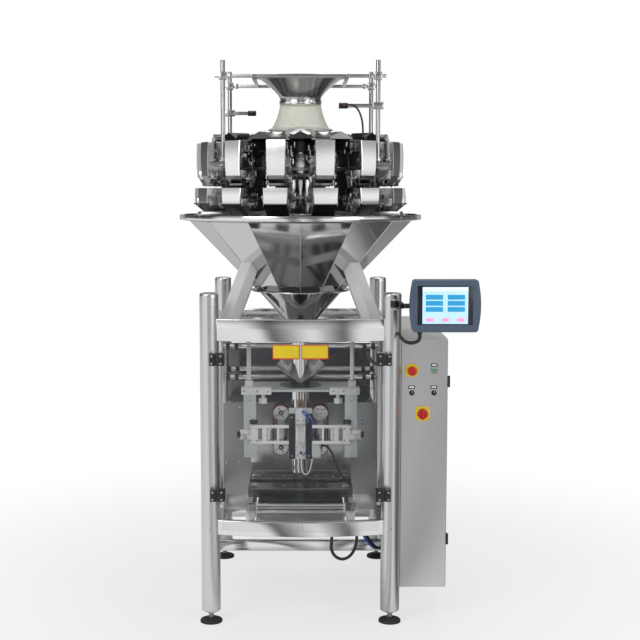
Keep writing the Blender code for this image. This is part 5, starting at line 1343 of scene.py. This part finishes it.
def build_pans():
    """Fourteen folded trays round the hub, each a U section that widens outwards, and peaked covers
    between."""
    wall, spread = 0.0022, tan(STEP / 2) * 0.92

    def tray():
        rows = []
        for radius, drop in ((0.165, 0.0), (0.19, 0.0002), (0.3, 0.0011), (0.4, 0.002)):
            wide = min(radius * spread, 0.042)
            low, high = 2.165 - drop, 2.215 - drop - (0.026 if radius > 0.18 else 0.0)
            section = [(-wide, low - 0.003), (wide, low - 0.003), (wide, high - 0.001),
                (wide - wall / 2, high), (wide - wall, high - 0.001), (wide - wall, low),
                (-wide + wall, low), (-wide + wall, high - 0.001), (-wide + wall / 2, high),
                (-wide, high - 0.001)]
            rows.append([(x, -radius, z) for x, z in section])
        return grid(np.array(rows), wrap_v=True, caps=True)

    make("pan_trays", around(tray()), DARK_STEEL, node="feeder_pans", sharp=25)
    hub = turned([(0.13, 2.1153), (0.184, 2.1153), (0.185, 2.118), (0.185, 2.164), (0.13, 2.164)], steps=96)
    make("pan_hub", hub, CAST)
    drives = block(-0.03, 0.03, -0.35, -0.215, 2.1165, 2.1605, 0.004)
    make("pan_drives", around(drives), CAST)
    ridge = []
    for radius, half in ((0.41, 0.056), (0.3, 0.03)):
        ridge.append([(-half, -radius, 2.166), (half, -radius, 2.166), (half, -radius, 2.172),
                (0.003, -radius, 2.1975), (-0.003, -radius, 2.1975), (-half, -radius, 2.172)])
    make("peaked_covers", around(grid(np.array(ridge), wrap_v=True, caps=True), SEAM_TURNS), COVER_STEEL,
        sharp=20)
    cone = [(0.001, 2.1153), (0.05, 2.1153), (0.05, 2.166), (0.156, 2.17), (0.159, 2.1715), (0.16, 2.174),
        (0.1585, 2.1765), (0.03, 2.235), (0.018, 2.238), (0.001, 2.239)]
    make("spreader_cone", turned(cone, steps=96, closed=False), MIRROR, node="dispersion_cone")


def head_parts():
    """One weighing head's buckets, hangers, drive box, gate flaps, links and springs, facing -Y."""
    feed_sizes = (0.4795, 0.39, 0.08, 0.45, 0.402, (1.96, 2.006, 2.158), True)
    weigh_sizes = (0.4895, 0.385, 0.103, 0.49, 0.43, (1.832, 1.883, 1.952), False)
    feed, weigh = hopper_shell(*feed_sizes, crown=0.0032), hopper_shell(*weigh_sizes, crown=0.0015)
    feet = joined(hopper_shell(*feed_sizes, foot=True), hopper_shell(*weigh_sizes, foot=True))
    box = joined(block(-0.024, 0.024, -0.374, -0.298, 2.0445, 2.112, 0.004),
        block(-0.024, 0.024, -0.368, -0.29, 1.9165, 2.0295, 0.004), block(-0.022, 0.022, -0.362, -0.28,
            1.85, 1.9015, 0.004))
    hooks = joined(block(-0.012, 0.012, -0.391, -0.36, 2.0265, 2.042, 0.0015),
        block(-0.012, 0.012, -0.386, -0.355, 1.899, 1.913, 0.0015))
    for sx in (-1, 1):
        cheek_feed = block(*sorted((sx * 0.0418, sx * 0.044)), -0.47, -0.376, 1.992, 2.03, 0.0008)
        cheek_weigh = block(*sorted((sx * 0.0535, sx * 0.056)), -0.48, -0.372, 1.872, 1.905, 0.0008)
        hooks = joined(hooks, cheek_feed, cheek_weigh)
    feed_flap = block(-0.036, 0.036, -0.4575, -0.453, 1.962, 2.004, 0.001)
    links, pins = [], []
    for sx in (-1, 1):
        links.append(bar_between((sx * 0.0465, -0.378, 2.018), (sx * 0.0465, -0.432, 1.978), 0.003, 0.009,
                0.0008))
        links.append(bar_between((sx * 0.0465, -0.432, 1.978), (sx * 0.0465, -0.455, 2.004), 0.003, 0.008,
                0.0008))
        links.append(bar_between((sx * 0.058, -0.374, 1.902), (sx * 0.058, -0.43, 1.868), 0.003, 0.009,
                0.0008))
        pins += [rod(0.0035, *sorted((sx * 0.0425, sx * 0.05)), (0, y, z), "X", 12) for y,
            z in ((-0.378, 2.018), (-0.432, 1.978), (-0.455, 2.004))]
        pins += [rod(0.0035, *sorted((sx * 0.0555, sx * 0.0615)), (0, y, z), "X", 12) for y,
            z in ((-0.374, 1.902), (-0.43, 1.868))]
        pins.append(spring((sx * 0.048, -0.386, 1.99), (sx * 0.048, -0.452, 1.996)))
        pins.append(spring((sx * 0.059, -0.38, 1.884), (sx * 0.059, -0.442, 1.88), turns=8))
    return feed, weigh, feet, box, hooks, feed_flap, joined(*links), joined(*pins)


def build_heads():
    feed, weigh, feet, box, hooks, flap, links, pins = head_parts()
    make("feed_buckets", around(feed), HOPPER_STEEL, node="feed_hoppers", sharp=14)
    make("weigh_buckets", around(weigh), HOPPER_STEEL, node="weigh_hoppers", sharp=14)
    make("bucket_feet", around(feet), DARK_STEEL, sharp=14)
    make("head_drives", around(box), CAST)
    make("head_brackets", around(hooks), SHEET_STEEL)
    make("feed_flaps", around(flap), DARK_STEEL)
    make("head_links", around(links), MACHINED)
    make("head_pins", around(pins), HOPPER_STEEL)
    refinish(DARK_STEEL, *[f"weigh_gate_{number:02d}" for number in range(1, HEADS + 1)])


def build_fittings():
    """Small brackets, levers, pins and springs on both flanks of every head, placed by a seeded draw."""
    draw = np.random.RandomState(7)
    bright, dim = [], []
    for turn in HEAD_TURNS:
        for side in (-1, 1):
            for k in range(20):
                z = draw.choice([draw.uniform(1.85, 1.945), draw.uniform(1.965, 2.015),
                        draw.uniform(2.05, 2.145)])
                x, y = side * (draw.uniform(0.06, 0.07) if z < 1.955
                    else draw.uniform(0.046, 0.06)), -draw.uniform(0.375, 0.445)
                size = [draw.uniform(0.003, 0.008), draw.uniform(0.004, 0.02), draw.uniform(0.005, 0.022)]
                part = cube((x, y, z), size, 0.001) if k % 3 else rod(draw.uniform(0.002, 0.005), z - 0.012,
                    z + 0.012, (x, y, 0), steps=10)
                (bright if k % 2 else dim).append(swung(part, turn))
            bright.append(swung(spring((side * 0.05, -0.4, 1.958), (side * 0.052, -0.398, 2.006), 0.005,
                        0.001, 7), turn))
    make("head_fittings", bright, MACHINED, sharp=30)
    make("head_fittings_dark", dim, DARK_STEEL, sharp=30)


build_weigher_core()
build_pans()
build_heads()
build_fittings()

# ---------------------------------------------------------------- infeed

GANTRY_X, GANTRY_Y, BAR_Z, SENSOR_Z = 0.44 * sin(2 * STEP), 0.44 * cos(2 * STEP), 2.445, 2.315


def build_infeed():
    """A polished trumpet whose radius falls with depth as a power of it, and its clamp band."""
    depth = np.linspace(0, 1, 24)
    (mouth, high), (neck, low) = ((0.198, 2.46), (0.096, 2.364))
    curve = [(neck + (mouth - neck) * (1 - d) ** 1.4, high - (high - low) * d) for d in depth]
    outside = [(neck, 2.336)] + curve[::-1]
    wall = 0.002
    profile = outside + [(0.211, high), (0.212, high + 0.0012), (0.211, high + 0.002),
        (mouth - 0.001, high + 0.002)]
    profile += [(r - wall, z) for r, z in curve[1:]] + [(neck - wall, 2.336)]
    make("infeed_trumpet", turned(profile, steps=112), TRUMPET_STEEL, node="infeed_funnel")
    band = turned([(neck + 0.0004, 2.338), (0.0985, 2.338), (0.099, 2.34), (0.099, 2.352), (0.0985, 2.354),
            (neck + 0.0004, 2.354)], steps=96)
    bolt_block = joined(block(-0.01, 0.01, -0.112, -0.097, 2.341, 2.352, 0.0015),
        rod(0.003, -0.016, 0.016, (0, -0.106, 2.3465), "X", 16))
    make("clamp_band", [band, swung(bolt_block, 0.5)], HOPPER_STEEL)


build_infeed()


def build_skirt():
    """The skirt flares in a hollow curve from the band down to its foot, with soft folds round it."""
    share = np.linspace(0, 1, 22)
    steps = 112
    t = around_steps(steps)
    top, foot, z1, z0 = 0.094, 0.1375, 2.352, 2.2215
    rows = []
    for inset in (0.0, 0.0018):
        for s in share if inset else share[::-1]:
            r = top + (foot - top) * (1.45 * s ** 2.2 + 0.55 * s) / 2.0
            folds = 0.0011 * s * np.sin(9 * t + 4 * s) + 0.0007 * s * np.sin(23 * t)
            rows.append(polar(r - inset + folds, t, z1 + (z0 - z1) * s))
    make("infeed_skirt_film", grid(np.array(rows), wrap_u=True, wrap_v=True), SKIRT, node="infeed_skirt",
        sharp=60)
    ring = turned([(0.13, 2.2202), (0.152, 2.2182), (0.153, 2.2192), (0.144, 2.2262), (0.1375, 2.2275),
            (0.13, 2.2275)], steps=96)
    make("skirt_ring", ring, WHITE_PLASTIC)


def build_gantry():
    """Four rods with rounded caps, square bars with screwed clamp blocks, and two level sensors on arms."""
    places = [(sx * GANTRY_X, sy * GANTRY_Y) for sx in (-1, 1) for sy in (-1, 1)]
    bend = QUARTER[4]
    tip = [(0.01 - 0.005 + 0.005 * cos(a), 2.511 + 0.005 * sin(a)) for a in bend]
    rods = [turned([(0.0092, 2.07), (0.01, 2.0708)] + tip, (x, y, 0), steps=28, closed=False) for x,
        y in places]
    make("gantry_rods", rods, ROD_STEEL, node="infeed_gantry")
    rows = [block(-GANTRY_X - 0.036, GANTRY_X + 0.036, *mid(y, 0.0075), *mid(BAR_Z, 0.0075), 0.0015)
        for y in (-GANTRY_Y, GANTRY_Y)]
    columns = [block(*mid(x, 0.0075), -GANTRY_Y - 0.02, GANTRY_Y + 0.02, BAR_Z - 0.0065, BAR_Z + 0.0075,
            0.0015) for x in (-0.2095, 0.2095)]
    make("gantry_bars", [*rows, *columns], ROD_STEEL)
    blocks = [cube((x, y, BAR_Z), (0.034, 0.032, 0.036), 0.003) for x, y in places]
    blocks += [cube((x - copysign(0.034, x), y, BAR_Z), (0.014, 0.024, 0.024), 0.002) for x, y in places]
    blocks += [turned([(0.0102, 2.07), (0.02, 2.07), (0.0205, 2.0712), (0.0205, 2.076), (0.0195, 2.0772),
                (0.014, 2.08), (0.014, 2.088), (0.0102, 2.0885)], (x, y, 0), steps=32) for x, y in places]
    arms = []
    for x, y, reach in ((-GANTRY_X, GANTRY_Y, -0.236), (GANTRY_X, -GANTRY_Y, 0.19)):
        arms.append(block(*sorted((x, reach)), *mid(y, 0.009), *mid(SENSOR_Z, 0.008), 0.001))
        blocks.append(cube((x, y, SENSOR_Z), (0.05, 0.034, 0.03), 0.003))
    make("gantry_blocks", blocks, MACHINED)
    make("sensor_arms", arms, ROD_STEEL)
    heads = [(x + dx, y - 0.015, BAR_Z + dz) for x, y in places for dx in (-0.008, 0.008)
        for dz in (-0.01, 0.01)]
    heads += [(x, y - 0.014, SENSOR_Z) for x, y in ((-GANTRY_X, GANTRY_Y), (GANTRY_X, -GANTRY_Y))]
    make("gantry_screws", screws(heads, radius=0.0032), HOPPER_STEEL)
    rim = [(sx * 0.2095, sy * 0.14, 2.4555) for sx in (-1, 1) for sy in (-1, 1)]
    make("rim_screws", screws(rim, "Z", 1, 0.005, 0.004), MACHINED)
    bodies, lamps = [], []
    for x, y, sign in ((-0.236, GANTRY_Y, 1), (0.19, -GANTRY_Y, -1)):
        span = sorted((x - 0.02, x + 0.02))
        bodies.append(rod(0.0128, span[0], span[1], (0, y, SENSOR_Z), "X", 32, 0.0015))
        for k in (-0.013, -0.009, 0.009, 0.013):
            bodies.append(rod(0.0132, x + k - 0.001, x + k + 0.001, (0, y, SENSOR_Z), "X", 32, 0.0004))
        lamps.append(rod(0.003, y - 0.014, y - 0.011, (x - sign * 0.004, 0, SENSOR_Z + 0.004), "Y", 12,
                0.001))
    make("sensor_heads", bodies, BLACK)
    make("sensor_lamps", lamps, RED)
    lead = [(0.206, 0, 0), (0.218, -0.004, 0.002), (0.232, -0.008, 0), (0.246, -0.011, -0.01),
        (0.258, -0.0125, -0.026), (0.267, -0.013, -0.047), (0.273, -0.0125, -0.071),
        (0.276, -0.011, -0.095), (0.277, -0.009, -0.119), (0.276, -0.0065, -0.139),
        (0.274, -0.0025, -0.155)]
    lay_cord("sensor_lead", np.array(lead) + (0, -GANTRY_Y - 0.004, SENSOR_Z + 0.002), 0.0042, RUBBER)


build_skirt()
build_gantry()
